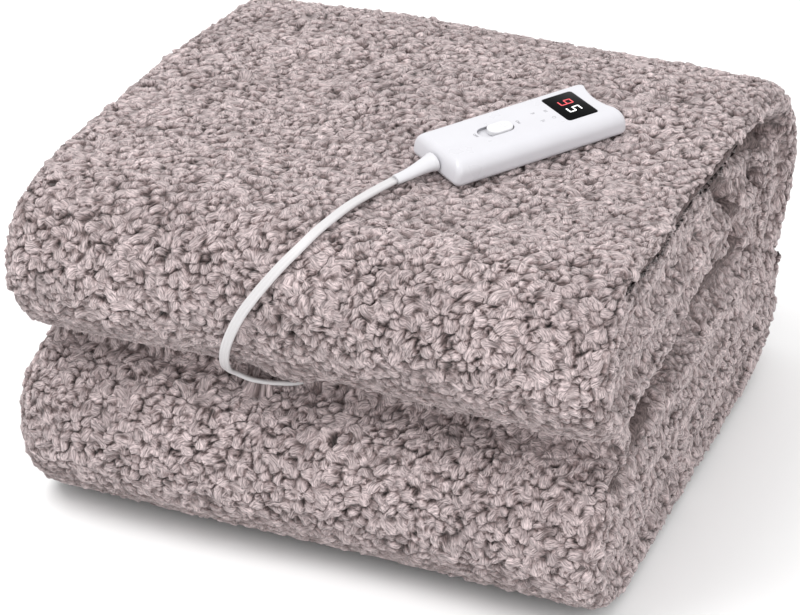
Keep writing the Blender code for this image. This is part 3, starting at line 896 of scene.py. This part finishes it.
class Wiring:
    """Adds nodes to a tree and gives their sockets values or links."""

    def __init__(self, tree):
        self.tree = tree

    def feed(self, node, **inputs):
        """Sockets go by name, with _ for a space, or by number, as in i0."""
        for name, value in inputs.items():
            socket = node.inputs[int(name[1:]) if name[1:].isdigit() else name.replace("_", " ")]
            if isinstance(value, bpy.types.NodeSocket):
                self.tree.links.new(value, socket)
            else:
                socket.default_value = value
        return node

    def add(self, kind, settings=None, **inputs):
        node = self.tree.nodes.new(kind)
        for name, value in (settings or {}).items():
            setattr(node, name, value)
        return self.feed(node, **inputs)

    def maths(self, operation, first, second):
        return self.add("ShaderNodeMath", {"operation": operation}, i0=first, i1=second).outputs[0]

    def scaled(self, colour, factor):
        node = self.add("ShaderNodeVectorMath", {"operation": "SCALE"}, i0=colour, Scale=factor)
        return node.outputs["Vector"]


def make_fibre_group():
    group = new_group(
        "fibre streaks",
        (
            ("Map", "NodeSocketVector", None), ("Count", "NodeSocketFloat", 15.0),
            ("Stretch", "NodeSocketFloat", 3.0),
        ),
        (("Streaks", "NodeSocketFloat"),),
    )
    wire = Wiring(group)
    given = wire.add("NodeGroupInput")
    parts = wire.add("ShaderNodeSeparateXYZ", i0=given.outputs["Map"])
    across = wire.maths("MULTIPLY", parts.outputs["X"], given.outputs["Count"])
    along = wire.maths("MULTIPLY", parts.outputs["Y"], given.outputs["Stretch"])
    spot = wire.add("ShaderNodeCombineXYZ", X=across, Y=along)
    noise = wire.add("ShaderNodeTexNoise", Vector=spot.outputs[0], Scale=1.0, Detail=2.5, Roughness=0.6)
    wire.add("NodeGroupOutput", Streaks=noise.outputs["Fac"])
    return group


FIBRE_GROUP = make_fibre_group()
print("group:", FIBRE_GROUP.name)

# %% [markdown]
# ## The pile's finish
#
# A clump is pale grey with a rosy cast at the tip. Towards the root, and in
# the crevices and creases, it is painted dark brown: painted shade, where no
# light comes. Some clumps are lighter than others, and their fibres run from
# light to dark. Sheen gives the bright rim of fine hair.

# %% Pile material
# Painted shade: the root and middle colours stand for the shade deep in the pile; the tip colour is the
# pile's own.
ROOT_SHADE_COLOUR = (0.034, 0.022, 0.021, 1.0)
MIDDLE_SHADE_COLOUR = (0.190, 0.142, 0.139, 1.0)
TIP_COLOUR = (0.500, 0.418, 0.418, 1.0)
DARK_TONE = (0.70, 0.68, 0.68, 1.0)
LIGHT_TONE = (1.16, 1.15, 1.15, 1.0)
STREAKS = ((7.5, 1.5), (15.0, 3.0))   # count and stretch of the coarse and the fine ones
STREAK_RANGE = (0.76, 1.24)           # both added
STREAK_SHADE = (0.46, 1.50)           # what they multiply the colour by
FIBRE_RELIEF = 1.1 * MM


def new_material(name, roughness):
    material = bpy.data.materials.new(name)
    material.use_nodes = True
    shader = material.node_tree.nodes["Principled BSDF"]
    shader.inputs["Roughness"].default_value = roughness
    return material, shader, Wiring(material.node_tree)


def ramp_node(wire, factor, stops):
    """A colour ramp through the named stops."""
    node = wire.add("ShaderNodeValToRGB", Fac=factor)
    elements = node.color_ramp.elements
    for number, (place, colour) in enumerate(stops):
        element = elements[number] if number < 2 else elements.new(place)
        element.position = place
        element.color = colour
    return node


def pile_material():
    material, shader, wire = new_material("teddy pile", 0.88)
    keys = wire.add("ShaderNodeUVMap", {"uv_map": "depth and tone"})
    fibre = wire.add("ShaderNodeUVMap", {"uv_map": "fibre"})
    parts = wire.add("ShaderNodeSeparateXYZ", i0=keys.outputs["UV"])
    coarse, fine = (
        wire.add("ShaderNodeGroup", {"node_tree": FIBRE_GROUP},
                 Map=fibre.outputs["UV"], Count=count, Stretch=stretch)
        for count, stretch in STREAKS
    )
    streaks = wire.maths("ADD", coarse.outputs[0], fine.outputs[0])
    shade = ramp_node(wire, parts.outputs["X"], (
        (0.15, ROOT_SHADE_COLOUR), (0.95, TIP_COLOUR), (0.50, MIDDLE_SHADE_COLOUR),
    ))
    tone_and_light_mix = wire.add("ShaderNodeMix", {"data_type": "RGBA"},
                     i0=parts.outputs["Y"], i6=DARK_TONE, i7=LIGHT_TONE)
    toned = wire.add("ShaderNodeMix", {"data_type": "RGBA", "blend_type": "MULTIPLY"},
                     i0=1.0, i6=shade.outputs["Color"], i7=tone_and_light_mix.outputs["Result"])
    low, high = STREAK_RANGE
    dark, light = STREAK_SHADE
    wisps = wire.add("ShaderNodeMapRange", Value=streaks, i1=low, i2=high, i3=dark, i4=light)
    bump = wire.add("ShaderNodeBump", Strength=1.0, Distance=FIBRE_RELIEF, Height=streaks)
    wire.feed(
        shader, Base_Color=wire.scaled(toned.outputs["Result"], wisps.outputs[0]),
        Normal=bump.outputs["Normal"], Sheen_Weight=0.25, Sheen_Roughness=0.5, Specular_IOR_Level=0.25,
    )
    return material


def dress(piece, material):
    piece.data.materials.clear()
    piece.data.materials.append(material)


def backing_material():
    # The backing is painted in the pile's root and middle colours: painted shade, as it lies where no light
    # comes.
    material, shader, wire = new_material("pile backing", 0.95)
    place = wire.add("ShaderNodeTexCoord")
    noise = wire.add("ShaderNodeTexNoise", Vector=place.outputs["Object"], Scale=420.0, Detail=3.0)
    shade = ramp_node(wire, noise.outputs["Fac"], ((0.35, ROOT_SHADE_COLOUR), (0.75, MIDDLE_SHADE_COLOUR)))
    bump = wire.add("ShaderNodeBump", Strength=0.8, Distance=1.0 * MM, Height=noise.outputs["Fac"])
    wire.feed(shader, Base_Color=shade.outputs["Color"], Normal=bump.outputs["Normal"])
    return material


PILE = pile_material()
for piece in pile_pieces:
    dress(piece, PILE)
dress(backing, backing_material())
print("materials:", len(bpy.data.materials))

# %% [markdown]
# ## The flat cord
#
# The cord is a soft white ribbon of three joined cores. It lies flat on the
# pile, so at each station its cross-section stands on the cloth below. A round
# curve could not show the two grooves, so the section is swept by hand.

# %% Cord
RIBS = 3
SECTION_POINTS = 40
GROOVE_DEPTH = 0.70         # share of the cord's half thickness
GROOVE_POWER = 0.20         # the lower, the narrower


def cord_section():
    """Outline of the cord: a flat oval with two grooves above and below."""
    outline = []
    for step in range(SECTION_POINTS):
        angle = 2 * math.pi * step / SECTION_POINTS
        across = math.copysign(abs(math.cos(angle)) ** 0.75, math.cos(angle))
        rise = math.copysign(abs(math.sin(angle)) ** 0.60, math.sin(angle))
        groove = 0.5 - 0.5 * math.cos(math.pi * RIBS * (across + 1))
        rise *= 1 - GROOVE_DEPTH + GROOVE_DEPTH * groove ** GROOVE_POWER
        outline.append((across * CORD_WIDTH / 2, rise * CORD_THICK / 2))
    return outline


def swept(name, line, side, lift, outline):
    """A closed tube of one section along a line."""
    across, rise = (np.array(column) for column in zip(*outline))
    rings = line[:, None] + side[:, None] * across[None, :, None] + lift[:, None] * rise[None, :, None]
    count = len(outline)
    points = np.vstack((rings.reshape(-1, 3), line[:1], line[-1:]))
    faces = []
    first, last = len(points) - 2, len(points) - 1
    end = (len(line) - 1) * count
    pairs = [(step, (step + 1) % count) for step in range(count)]
    for ring in range(0, end, count):
        faces += [(ring + a, ring + b, ring + b + count, ring + a + count) for a, b in pairs]
    for a, b in pairs:
        faces += [(first, b, a), (last, end + a, end + b)]
    mesh = bpy.data.meshes.new(name)
    mesh.from_pydata(points.tolist(), [], faces)
    piece = bpy.data.objects.new(name, mesh)
    bpy.context.scene.collection.objects.link(piece)
    edit_all(piece)
    face_outwards()
    bpy.ops.object.shade_smooth()
    return piece


cord = swept("flat_cord", cord_line, cord_side, cord_lift, cord_section())
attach(cord, "fold")
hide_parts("cord")
print("cord:", triangle_count(cord), "triangles")

# %% [markdown]
# ## The handset's case
#
# The case is one moulded shell with soft shoulders, a hollow in its display
# end and a flat face at the cord's end. Its outline at each height is the same
# shape drawn in a little, so a flat outline is extruded upwards in steps, and
# resized at each step.

# %% Case
CORNER = 3.6 * MM
HOLLOW = 4.0 * MM
HOLLOW_CUTS = 11
SHOULDER = 8.0 * MM         # the sides draw in above this height
TOP_SIDE_INSET = 9.0 * MM
TOP_TAIL_INSET = 5.6 * MM
TOP_HEAD_INSET = 5.4 * MM
FOOT = 4.5 * MM             # and below this one
FOOT_INSETS = (4.5 * MM, 4.0 * MM, 3.2 * MM)   # of sides, tail and head
FOOT_STEPS = 5
SHOULDER_STEPS = 11


def case_insets(height):
    """How far sides, tail and head are drawn in at a height."""
    if height < FOOT:
        share = 1 - math.sqrt(max(0.0, 1 - (1 - height / FOOT) ** 2))
        return [inset * share for inset in FOOT_INSETS]
    share = max(0.0, height - SHOULDER) / (CASE_HEIGHT - SHOULDER)
    share = 1 - math.sqrt(max(0.0, 1 - share ** 2))
    sharp = max(0.0, height - FOOT) / (CASE_HEIGHT - FOOT)
    tail = TOP_TAIL_INSET * (0.45 * sharp + 0.55 * sharp ** 6)
    return TOP_SIDE_INSET * share, tail, TOP_HEAD_INSET * (0.15 * sharp + 0.85 * share)


def case_heights():
    """Heights of the steps, close together where the sides bend."""
    feet = [FOOT * (1 - math.cos(math.pi / 2 * step / FOOT_STEPS)) for step in range(FOOT_STEPS + 1)]
    rise = CASE_HEIGHT - SHOULDER
    turns = [math.pi / 2 * step / SHOULDER_STEPS for step in range(SHOULDER_STEPS + 1)]
    return feet + [SHOULDER + rise * math.sin(turn) for turn in turns]


def resize_selected(before, after):
    """Scale the selected face from one set of insets to the next."""
    spans = []
    for side, tail, head in (before, after):
        spans.append((CASE_LENGTH - tail - head, (head - tail) / -2, CASE_WIDTH - 2 * side))
    grow = (spans[1][0] / spans[0][0], spans[1][2] / spans[0][2], 1.0)
    bpy.ops.transform.resize(value=grow, center_override=(spans[0][1], 0.0, 0.0))
    bpy.ops.transform.translate(value=(spans[1][1] - spans[0][1], 0.0, 0.0))


case = fresh("case_shell", bpy.ops.mesh.primitive_plane_add, size=1.0)
bpy.ops.object.mode_set(mode="EDIT")
bpy.ops.transform.resize(value=(CASE_LENGTH, CASE_WIDTH, 1.0), center_override=(0, 0, 0))
bpy.ops.mesh.select_all(action="SELECT")
bpy.ops.mesh.bevel(affect="VERTICES", offset=CORNER, segments=10)
HEAD = CASE_LENGTH / 2 - 0.1 * MM
select_edges(case, lambda a, b: min(a.x, b.x) > HEAD and abs(a.y - b.y) > CORNER)
bpy.ops.mesh.subdivide(number_cuts=HOLLOW_CUTS)
work = bmesh.from_edit_mesh(case.data)
half_flat = CASE_WIDTH / 2 - CORNER
for vertex in work.verts:
    if vertex.co.x > HEAD and abs(vertex.co.y) < half_flat - 0.1 * MM:
        vertex.co.x -= HOLLOW * (1 - (vertex.co.y / half_flat) ** 2)
bmesh.update_edit_mesh(case.data)
bpy.ops.mesh.select_all(action="SELECT")
heights = case_heights()
resize_selected((0.0, 0.0, 0.0), case_insets(0.0))
for before, after in zip(heights, heights[1:]):
    bpy.ops.mesh.extrude_region_move(TRANSFORM_OT_translate={"value": (0.0, 0.0, after - before)})
    resize_selected(case_insets(before), case_insets(after))
face_outwards()
print("case:", triangle_count(case), "triangles")

# %% [markdown]
# ## Pocket and slot
#
# The window sits in a shallow pocket and the switch runs in a slot with round
# ends. Both are cut with a Boolean, as a milling cutter would, and all crisp
# edges then get a fine bevel, because only a rounded edge catches the light.

# %% Cut the case
window_low, window_high = box_in_handset("display_window")
knob_low, knob_high = box_in_handset("slide_knob")
SLIDE_TRAVEL = max(abs(value) for value in frame["joints"][0]["range_m"])
CLEAR = 0.3 * MM
SLOT_WIDTH = float(knob_high[1] - knob_low[1]) + 2 * CLEAR
SLOT_LENGTH = float(knob_high[0] - knob_low[0]) + SLIDE_TRAVEL + 2 * CLEAR
SLOT_MIDDLE = float(knob_high[0] + knob_low[0] - SLIDE_TRAVEL) / 2
SLOT_DEPTH = CASE_HEIGHT - float(knob_low[2]) + CLEAR
CUT_OVER = 3.0 * MM
POCKET_CORNER = 2.3 * MM
EDGE_BEVEL = 0.30 * MM
SMOOTH_ANGLE = math.radians(32)
SHORT_EDGE = 0.3 * MM       # half the edge that stays between two round corners


def slab(name, length, width, corner, middle, low, high, segments=8):
    """An upright block with round corners, from a cube."""
    piece = fresh(name, bpy.ops.mesh.primitive_cube_add, size=1.0, location=(0, 0, 0))
    bpy.ops.object.mode_set(mode="EDIT")
    bpy.ops.transform.resize(value=(length, width, high - low), center_override=(0, 0, 0))
    select_edges(piece, lambda a, b: abs(a.z - b.z) > (high - low) / 2)
    bpy.ops.mesh.bevel(offset=corner, segments=segments)
    bpy.ops.mesh.select_all(action="SELECT")
    bpy.ops.mesh.remove_doubles(threshold=MERGE)
    bpy.ops.transform.translate(value=(*middle, (low + high) / 2))
    leave_edit()
    return piece


def cut_away(piece, tool):
    apply_modifier(piece, "BOOLEAN", operation="DIFFERENCE", solver="EXACT", object=tool)
    bpy.data.objects.remove(tool)


window_length, window_width = (float(size) for size in (window_high - window_low)[:2])
WINDOW_MIDDLE = float(window_low[0] + window_high[0]) / 2
cut_away(case, slab(
    "pocket", window_length + 2 * CLEAR, window_width + 2 * CLEAR, POCKET_CORNER,
    (WINDOW_MIDDLE, 0.0), float(window_low[2]) - CLEAR, CASE_HEIGHT + CUT_OVER,
))
cut_away(case, slab(
    "slot", SLOT_LENGTH, SLOT_WIDTH, SLOT_WIDTH / 2 - SHORT_EDGE, (SLOT_MIDDLE, 0.0),
    CASE_HEIGHT - SLOT_DEPTH, CASE_HEIGHT + CUT_OVER, 14,
))
bevelled(case, EDGE_BEVEL, 2)
bpy.ops.object.shade_smooth_by_angle(angle=SMOOTH_ANGLE)
apply_modifier(case, "WEIGHTED_NORMAL", keep_sharp=True)
# The slot's walls are picked out for a darker grey below: painted shade that draws the slot's outline.
slot_walls = [
    face.index for face in case.data.polygons
    if abs(face.normal.z) < 0.3 and face.center.z > CASE_HEIGHT - SLOT_DEPTH
    and abs(face.center.x - SLOT_MIDDLE) < SLOT_LENGTH / 2 + CLEAR
    and abs(face.center.y) < SLOT_WIDTH / 2 + CLEAR
]
place_on_handset(case, "fold", ("handset_case",))
print("cut case:", triangle_count(case), "triangles")

# %% [markdown]
# ## The window and its figures
#
# The display is a black pane. Its figures are lit bars under the surface, in
# the seven-bar shapes that all such displays share. They read along the
# handset, with their heads towards the display end.

# %% Window and figures
FIGURE_HEIGHT = 9.6 * MM
FIGURE_WIDTH = 5.6 * MM
BAR = 0.90 * MM
BAR_GAP = 0.18 * MM
FIGURE_PITCH = 9.6 * MM
FIGURE_PROUD = 0.04 * MM
WINDOW_CORNER = 2.0 * MM
WINDOW_BEVEL = 0.22 * MM
# Bars of a figure seen upright: middle from left to right and from foot to
# head as shares of the figure, and whether the bar lies flat.
BARS = {
    "top": (0.0, 0.5, True), "middle": (0.0, 0.0, True), "bottom": (0.0, -0.5, True),
    "upper left": (-0.5, 0.25, False), "upper right": (0.5, 0.25, False),
    "lower left": (-0.5, -0.25, False), "lower right": (0.5, -0.25, False),
}
NINE = ("top", "middle", "bottom", "upper left", "upper right", "lower right")
FIVE = ("top", "middle", "bottom", "upper left", "lower right")

window = slab(
    "window_pane", window_length, window_width, WINDOW_CORNER,
    (WINDOW_MIDDLE, 0.0), float(window_low[2]), float(window_high[2]),
)
bevelled(window, WINDOW_BEVEL, 2)
bpy.ops.object.shade_smooth_by_angle(angle=SMOOTH_ANGLE)


def lit_figure(name, bars, middle_y):
    """A figure of lit bars, joined into one mesh on the pane."""
    pieces = []
    low = float(window_high[2]) + FIGURE_PROUD / 2
    for label in bars:
        left, head, lies = BARS[label]
        span = (FIGURE_WIDTH if lies else FIGURE_HEIGHT / 2) - BAR - 2 * BAR_GAP
        length, width = (BAR, span + BAR * 0.9) if lies else (span + BAR * 0.9, BAR)
        place = (WINDOW_MIDDLE + head * (FIGURE_HEIGHT - BAR), middle_y - left * (FIGURE_WIDTH - BAR))
        pieces.append(slab(name, length, width, BAR * 0.42, place, low, low + FIGURE_PROUD, 3))
    figure = joined(pieces, name)
    place_on_handset(figure, "fold")
    return figure


place_on_handset(window, "fold", ("display_window",))
figure_nine = lit_figure("figure_left", NINE, FIGURE_PITCH / 2)
figure_five = lit_figure("figure_right", FIVE, -FIGURE_PITCH / 2)
print("triangles:", [triangle_count(piece) for piece in (window, figure_nine, figure_five)])

# %% [markdown]
# ## Marks on the case
#
# The case carries a few small grey marks: OFF and ON at the ends of the slot,
# a clock, a heat level and some strokes beside the display. They are printed
# on, so each is a very thin raised shape, and all are joined into one piece.

# %% Printed marks
MARK_PROUD = 0.06 * MM
LETTER_SIZE = 2.6 * MM
STROKE = 0.22 * MM
STROKE_CORNER = 0.08 * MM
CLOCK_PLACE = (0.0205, -0.0070)
CLOCK_RADIUS = 1.15 * MM
# Letters and the middle of each word, in metres along the handset's axes.
WORDS = (("OFF", (-0.0335, 0.0)), ("ON", (-0.0020, 0.0)))
# Middle, length along the handset and width of each stroke, in mm.
STROKES = (
    (20.4, 3.4, 2.2, 0.25), (20.4, 2.4, 2.2, 0.25), (20.4, 1.4, 2.2, 0.25),
    (12.0, 4.6, 3.0, 0.30), (12.0, 3.6, 1.8, 0.30),
    (12.2, -6.4, 3.0, 0.30), (12.2, -7.6, 1.8, 0.30),
)


def word_mesh(text, place):
    """A word that reads along the handset, flat on its top."""
    piece = fresh(text, bpy.ops.object.text_add, location=(0, 0, 0))
    piece.data.body = text
    piece.data.size = LETTER_SIZE
    piece.data.extrude = MARK_PROUD / 2
    piece.data.align_x = piece.data.align_y = "CENTER"
    piece.rotation_euler.z = -math.pi / 2
    piece.location = (*place, CASE_HEIGHT + MARK_PROUD / 2)
    bpy.ops.object.convert(target="MESH")
    bpy.ops.object.transform_apply(location=True, rotation=True, scale=True)
    return bpy.context.object


marks = [word_mesh(text, place) for text, place in WORDS]
for middle_x, middle_y, length, width in STROKES:
    marks.append(slab(
        "stroke", length * MM, width * MM, STROKE_CORNER, (middle_x * MM, middle_y * MM),
        CASE_HEIGHT, CASE_HEIGHT + MARK_PROUD, 2,
    ))
clock = fresh(
    "clock", bpy.ops.mesh.primitive_torus_add, location=(*CLOCK_PLACE, CASE_HEIGHT),
    major_radius=CLOCK_RADIUS, minor_radius=STROKE / 2, major_segments=32, minor_segments=8,
)
bpy.ops.transform.resize(value=(1, 1, 2 * MARK_PROUD / STROKE))
bpy.ops.object.transform_apply(location=True, rotation=True, scale=True)
printed_marks = joined((*marks, clock), "printed_marks")
place_on_handset(printed_marks, "fold")
print("marks:", triangle_count(printed_marks), "triangles")

# %% [markdown]
# ## The knob
#
# The knob is a low pill with a raised rest for the thumb at its display end.
# A cube gets round ends and its top is inset and raised. The ribs of the rest
# are thin bars that are joined to it. A narrow gap all round shows the slot.

# %% Knob
KNOB_RIBS = 3
KNOB_GAP = 0.35 * MM        # more room round the knob than in the frame
KNOB_LIP = 0.9 * MM
KNOB_STEPS = ((0.9, 0.45), (0.8, 0.12))   # inset and rise of each step of its top, in mm
FIRST_RIB = 5.0 * MM        # from the display end of the knob
RIB_PITCH = 2.1 * MM
RIB = 0.8 * MM
RIB_CORNER = 0.3 * MM
RIB_SHARE = 0.46            # its length as a share of the knob's width
RIB_BELOW = 0.02 * MM       # the frame's own top
RIB_BEVEL = 0.20 * MM
KNOB_BEVEL = 0.25 * MM
SOFT_ANGLE = math.radians(40)
knob_length, knob_width = (float(size) - 2 * KNOB_GAP for size in (knob_high - knob_low)[:2])
knob_middle = float(knob_low[0] + knob_high[0]) / 2
knob_top = float(knob_high[2])
knob = slab(
    "switch_knob", knob_length, knob_width, knob_width / 2 - SHORT_EDGE,
    (knob_middle, 0.0), float(knob_low[2]), knob_top - KNOB_LIP, 14,
)
bpy.ops.object.mode_set(mode="EDIT")
bpy.ops.mesh.select_mode(type="FACE")
bpy.ops.mesh.select_all(action="DESELECT")
work = bmesh.from_edit_mesh(knob.data)
for face in work.faces:
    face.select_set(face.normal.z > 0.9)
bmesh.update_edit_mesh(knob.data)
for inset, raised in KNOB_STEPS:
    bpy.ops.mesh.inset(thickness=inset * MM)
    bpy.ops.transform.translate(value=(0, 0, raised * MM))
leave_edit()
bevelled(knob, KNOB_BEVEL, 3, 20)
ribs = []
for number in range(KNOB_RIBS):
    place = (float(knob_high[0]) - FIRST_RIB - number * RIB_PITCH, 0.0)
    rib = slab(
        "rib", RIB, knob_width * RIB_SHARE, RIB_CORNER, place, knob_top - KNOB_LIP, knob_top - RIB_BELOW, 4,
    )
    bevelled(rib, RIB_BEVEL, 2)
    ribs.append(rib)
knob = joined((knob, *ribs), "switch_knob")
bpy.ops.object.shade_smooth_by_angle(angle=SOFT_ANGLE)
place_on_handset(knob, "switch", ("slide_knob",))
print("knob:", triangle_count(knob), "triangles")

# %% [markdown]
# ## The sleeve at the cord's end
#
# The sleeve takes the bend out of the cord where it leaves the case. It is a
# bell that narrows to the cord, with a collar where it meets the case. It
# starts as a disc, which is extruded away from the case ring by ring.

# %% Sleeve
relief_low, relief_high = box_in_handset("strain_relief")
RELIEF_LENGTH = float(relief_high[0] - relief_low[0])
RELIEF_AXIS = 7.8 * MM
RELIEF_DROP = 4.4 * MM
# Share of the length, width and height in mm, from the case to the cord.
RELIEF_RINGS = (
    (0.00, 15.0, 10.8), (0.05, 15.0, 10.8), (0.065, 14.6, 10.5), (0.075, 13.9, 10.1), (0.12, 13.2, 9.7),
    (0.20, 12.3, 9.0), (0.30, 11.3, 8.2), (0.42, 10.3, 7.4), (0.56, 9.45, 6.75), (0.72, 8.8, 6.2),
    (0.90, 8.35, 5.75), (0.965, 8.2, 5.6), (1.00, 7.8, 5.2),
)


def relief_middle(share):
    """Height of the sleeve's middle, which droops towards the cord."""
    return RELIEF_AXIS - RELIEF_DROP * float(eased(share, -0.1, 1.0))


sleeve = fresh(
    "cord_sleeve", bpy.ops.mesh.primitive_circle_add, vertices=36, radius=0.5, fill_type="NGON",
    rotation=(0, -math.pi / 2, 0),
)
bpy.ops.object.transform_apply(location=False, rotation=True, scale=False)
edit_all(sleeve)
share, wide, high = RELIEF_RINGS[0]
bpy.ops.transform.resize(value=(1, wide * MM, high * MM), center_override=(0, 0, 0))
bpy.ops.transform.translate(value=(float(relief_high[0]), 0.0, relief_middle(share)))
for before, after in zip(RELIEF_RINGS, RELIEF_RINGS[1:]):
    step = (before[0] - after[0]) * RELIEF_LENGTH
    middle = relief_middle(after[0])
    drop = middle - relief_middle(before[0])
    bpy.ops.mesh.extrude_region_move(TRANSFORM_OT_translate={"value": (step, 0.0, drop)})
    grow = (1, after[1] / before[1], after[2] / before[2])
    bpy.ops.transform.resize(value=grow, center_override=(0.0, 0.0, middle))
face_outwards()
bpy.ops.object.shade_smooth_by_angle(angle=SOFT_ANGLE)
place_on_handset(sleeve, "fold", ("strain_relief",))
print("sleeve:", triangle_count(sleeve), "triangles")

# %% [markdown]
# ## Moulded plastic
#
# White plastic is never one flat colour: the mould leaves a faint grain, and
# handling leaves parts of it glossier than others. Both come from one node
# group, which case, knob, sleeve and cord use with their own values.

# %% Plastic group and materials


def make_plastic_group():
    group = new_group(
        "moulded grain",
        (
            ("Place", "NodeSocketVector", None), ("Grain", "NodeSocketFloat", 2500.0),
            ("Gloss", "NodeSocketFloat", 0.3), ("Tint", "NodeSocketColor", (0.8, 0.8, 0.8, 1.0)),
        ),
        (
            ("Colour", "NodeSocketColor"), ("Roughness", "NodeSocketFloat"), ("Relief", "NodeSocketFloat"),
        ),
    )
    wire = Wiring(group)
    given = wire.add("NodeGroupInput")
    place = given.outputs["Place"]
    grain = wire.add("ShaderNodeTexNoise", Vector=place, Scale=given.outputs["Grain"], Detail=2.0)
    wear = wire.add("ShaderNodeTexNoise", Vector=place, Scale=60.0, Detail=3.0)
    rough, fade = (
        wire.add("ShaderNodeMapRange", Value=wear.outputs["Fac"], i1=0.3, i2=0.7, i3=low, i4=high)
        for low, high in ((-0.04, 0.05), (0.97, 1.0))
    )
    wire.add(
        "NodeGroupOutput", Colour=wire.scaled(given.outputs["Tint"], fade.outputs[0]),
        Roughness=wire.maths("ADD", given.outputs["Gloss"], rough.outputs[0]), Relief=grain.outputs["Fac"],
    )
    return group


PLASTIC_GROUP = make_plastic_group()


def plastic(name, tint, gloss, grain, bump):
    material, shader, wire = new_material(name, gloss)
    place = wire.add("ShaderNodeTexCoord")
    skin = wire.add("ShaderNodeGroup", {"node_tree": PLASTIC_GROUP},
                    Place=place.outputs["Object"], Grain=grain, Gloss=gloss, Tint=(*tint, 1.0))
    relief = wire.add("ShaderNodeBump", Strength=bump, Distance=0.05 * MM, Height=skin.outputs["Relief"])
    wire.feed(
        shader, Base_Color=skin.outputs["Colour"], Roughness=skin.outputs["Roughness"],
        Normal=relief.outputs["Normal"],
    )
    return material


def lit_material(name, colour, strength):
    material, shader, wire = new_material(name, 0.4)
    wire.feed(shader, Base_Color=(*colour, 1.0), Emission_Color=(*colour, 1.0), Emission_Strength=strength)
    return material


# Name, tint, gloss, grains per metre and strength of the grain.
dress(case, plastic("case plastic", (0.585, 0.58, 0.610), 0.30, 2600.0, 0.10))
# The slot's walls get a darker grey: painted shade in the slot.
case.data.materials.append(plastic("shaded slot", (0.26, 0.26, 0.28), 0.5, 1800.0, 0.05))
for number in slot_walls:
    case.data.polygons[number].material_index = 1
dress(printed_marks, plastic("grey print", (0.16, 0.16, 0.175), 0.5, 1800.0, 0.05))
dress(knob, plastic("knob plastic", (0.65, 0.645, 0.665), 0.34, 2600.0, 0.10))
dress(sleeve, plastic("sleeve plastic", (0.59, 0.585, 0.605), 0.42, 1800.0, 0.15))
dress(cord, plastic("cord plastic", (0.57, 0.555, 0.56), 0.40, 1500.0, 0.20))
dress(window, plastic("window plastic", (0.003, 0.003, 0.0035), 0.16, 3000.0, 0.02))
window.data.materials[0].node_tree.nodes["Principled BSDF"].inputs["Specular IOR Level"].default_value = 0.03
dress(figure_nine, lit_material("red figure", (0.62, 0.060, 0.075), 0.55))
dress(figure_five, lit_material("white figure", (1.0, 1.0, 1.0), 1.0))
print("plastic pieces dressed")

# %% [markdown]
# ## Floor and light
#
# The picture is a packshot: everything is white round the blanket, and the
# light is soft from all sides, with one large softbox high on the left and a
# weaker one on the right. The floor is pale and is not part of the object.

# %% Stage
FLOOR_SIZE = 8.0
FLOOR_COLOUR = (0.93, 0.93, 0.93, 1.0)
SKY_STRENGTH = 1.12


def softbox(name, place, size, power):
    bpy.ops.object.light_add(type="AREA", location=place)
    lamp = named(name)
    lamp.data.size = size
    lamp.data.energy = power
    lamp.rotation_euler = (AIM - Vector(place)).to_track_quat("-Z", "Y").to_euler()
    return lamp


floor = fresh("floor", bpy.ops.mesh.primitive_plane_add, size=FLOOR_SIZE)
floor_material, floor_shader, _ = new_material("pale floor", 0.6)
floor_shader.inputs["Base Color"].default_value = FLOOR_COLOUR
floor.data.materials.append(floor_material)
floor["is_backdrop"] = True
world = bpy.data.worlds.new("studio")
bpy.context.scene.world = world
world.use_nodes = True
Wiring(world.node_tree).feed(
    world.node_tree.nodes["Background"], Color=(1.0, 1.0, 1.0, 1.0), Strength=SKY_STRENGTH,
)
softbox("key_light", (-0.75, -0.75, 1.9), 1.0, 20.0)
softbox("fill_light", (1.6, -0.9, 1.0), 1.2, 8.0)
bpy.context.scene.view_settings.view_transform = "Standard"
print("stage ready")

# %% Finish
VISUAL_BOX = [list(corner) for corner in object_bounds()]
grown = [[round((b - a) / MM, 1) for a, b in zip(*corner)] for corner in zip(CAD_BOX, VISUAL_BOX)]
print("visual box against the frame's, mm:", grown)
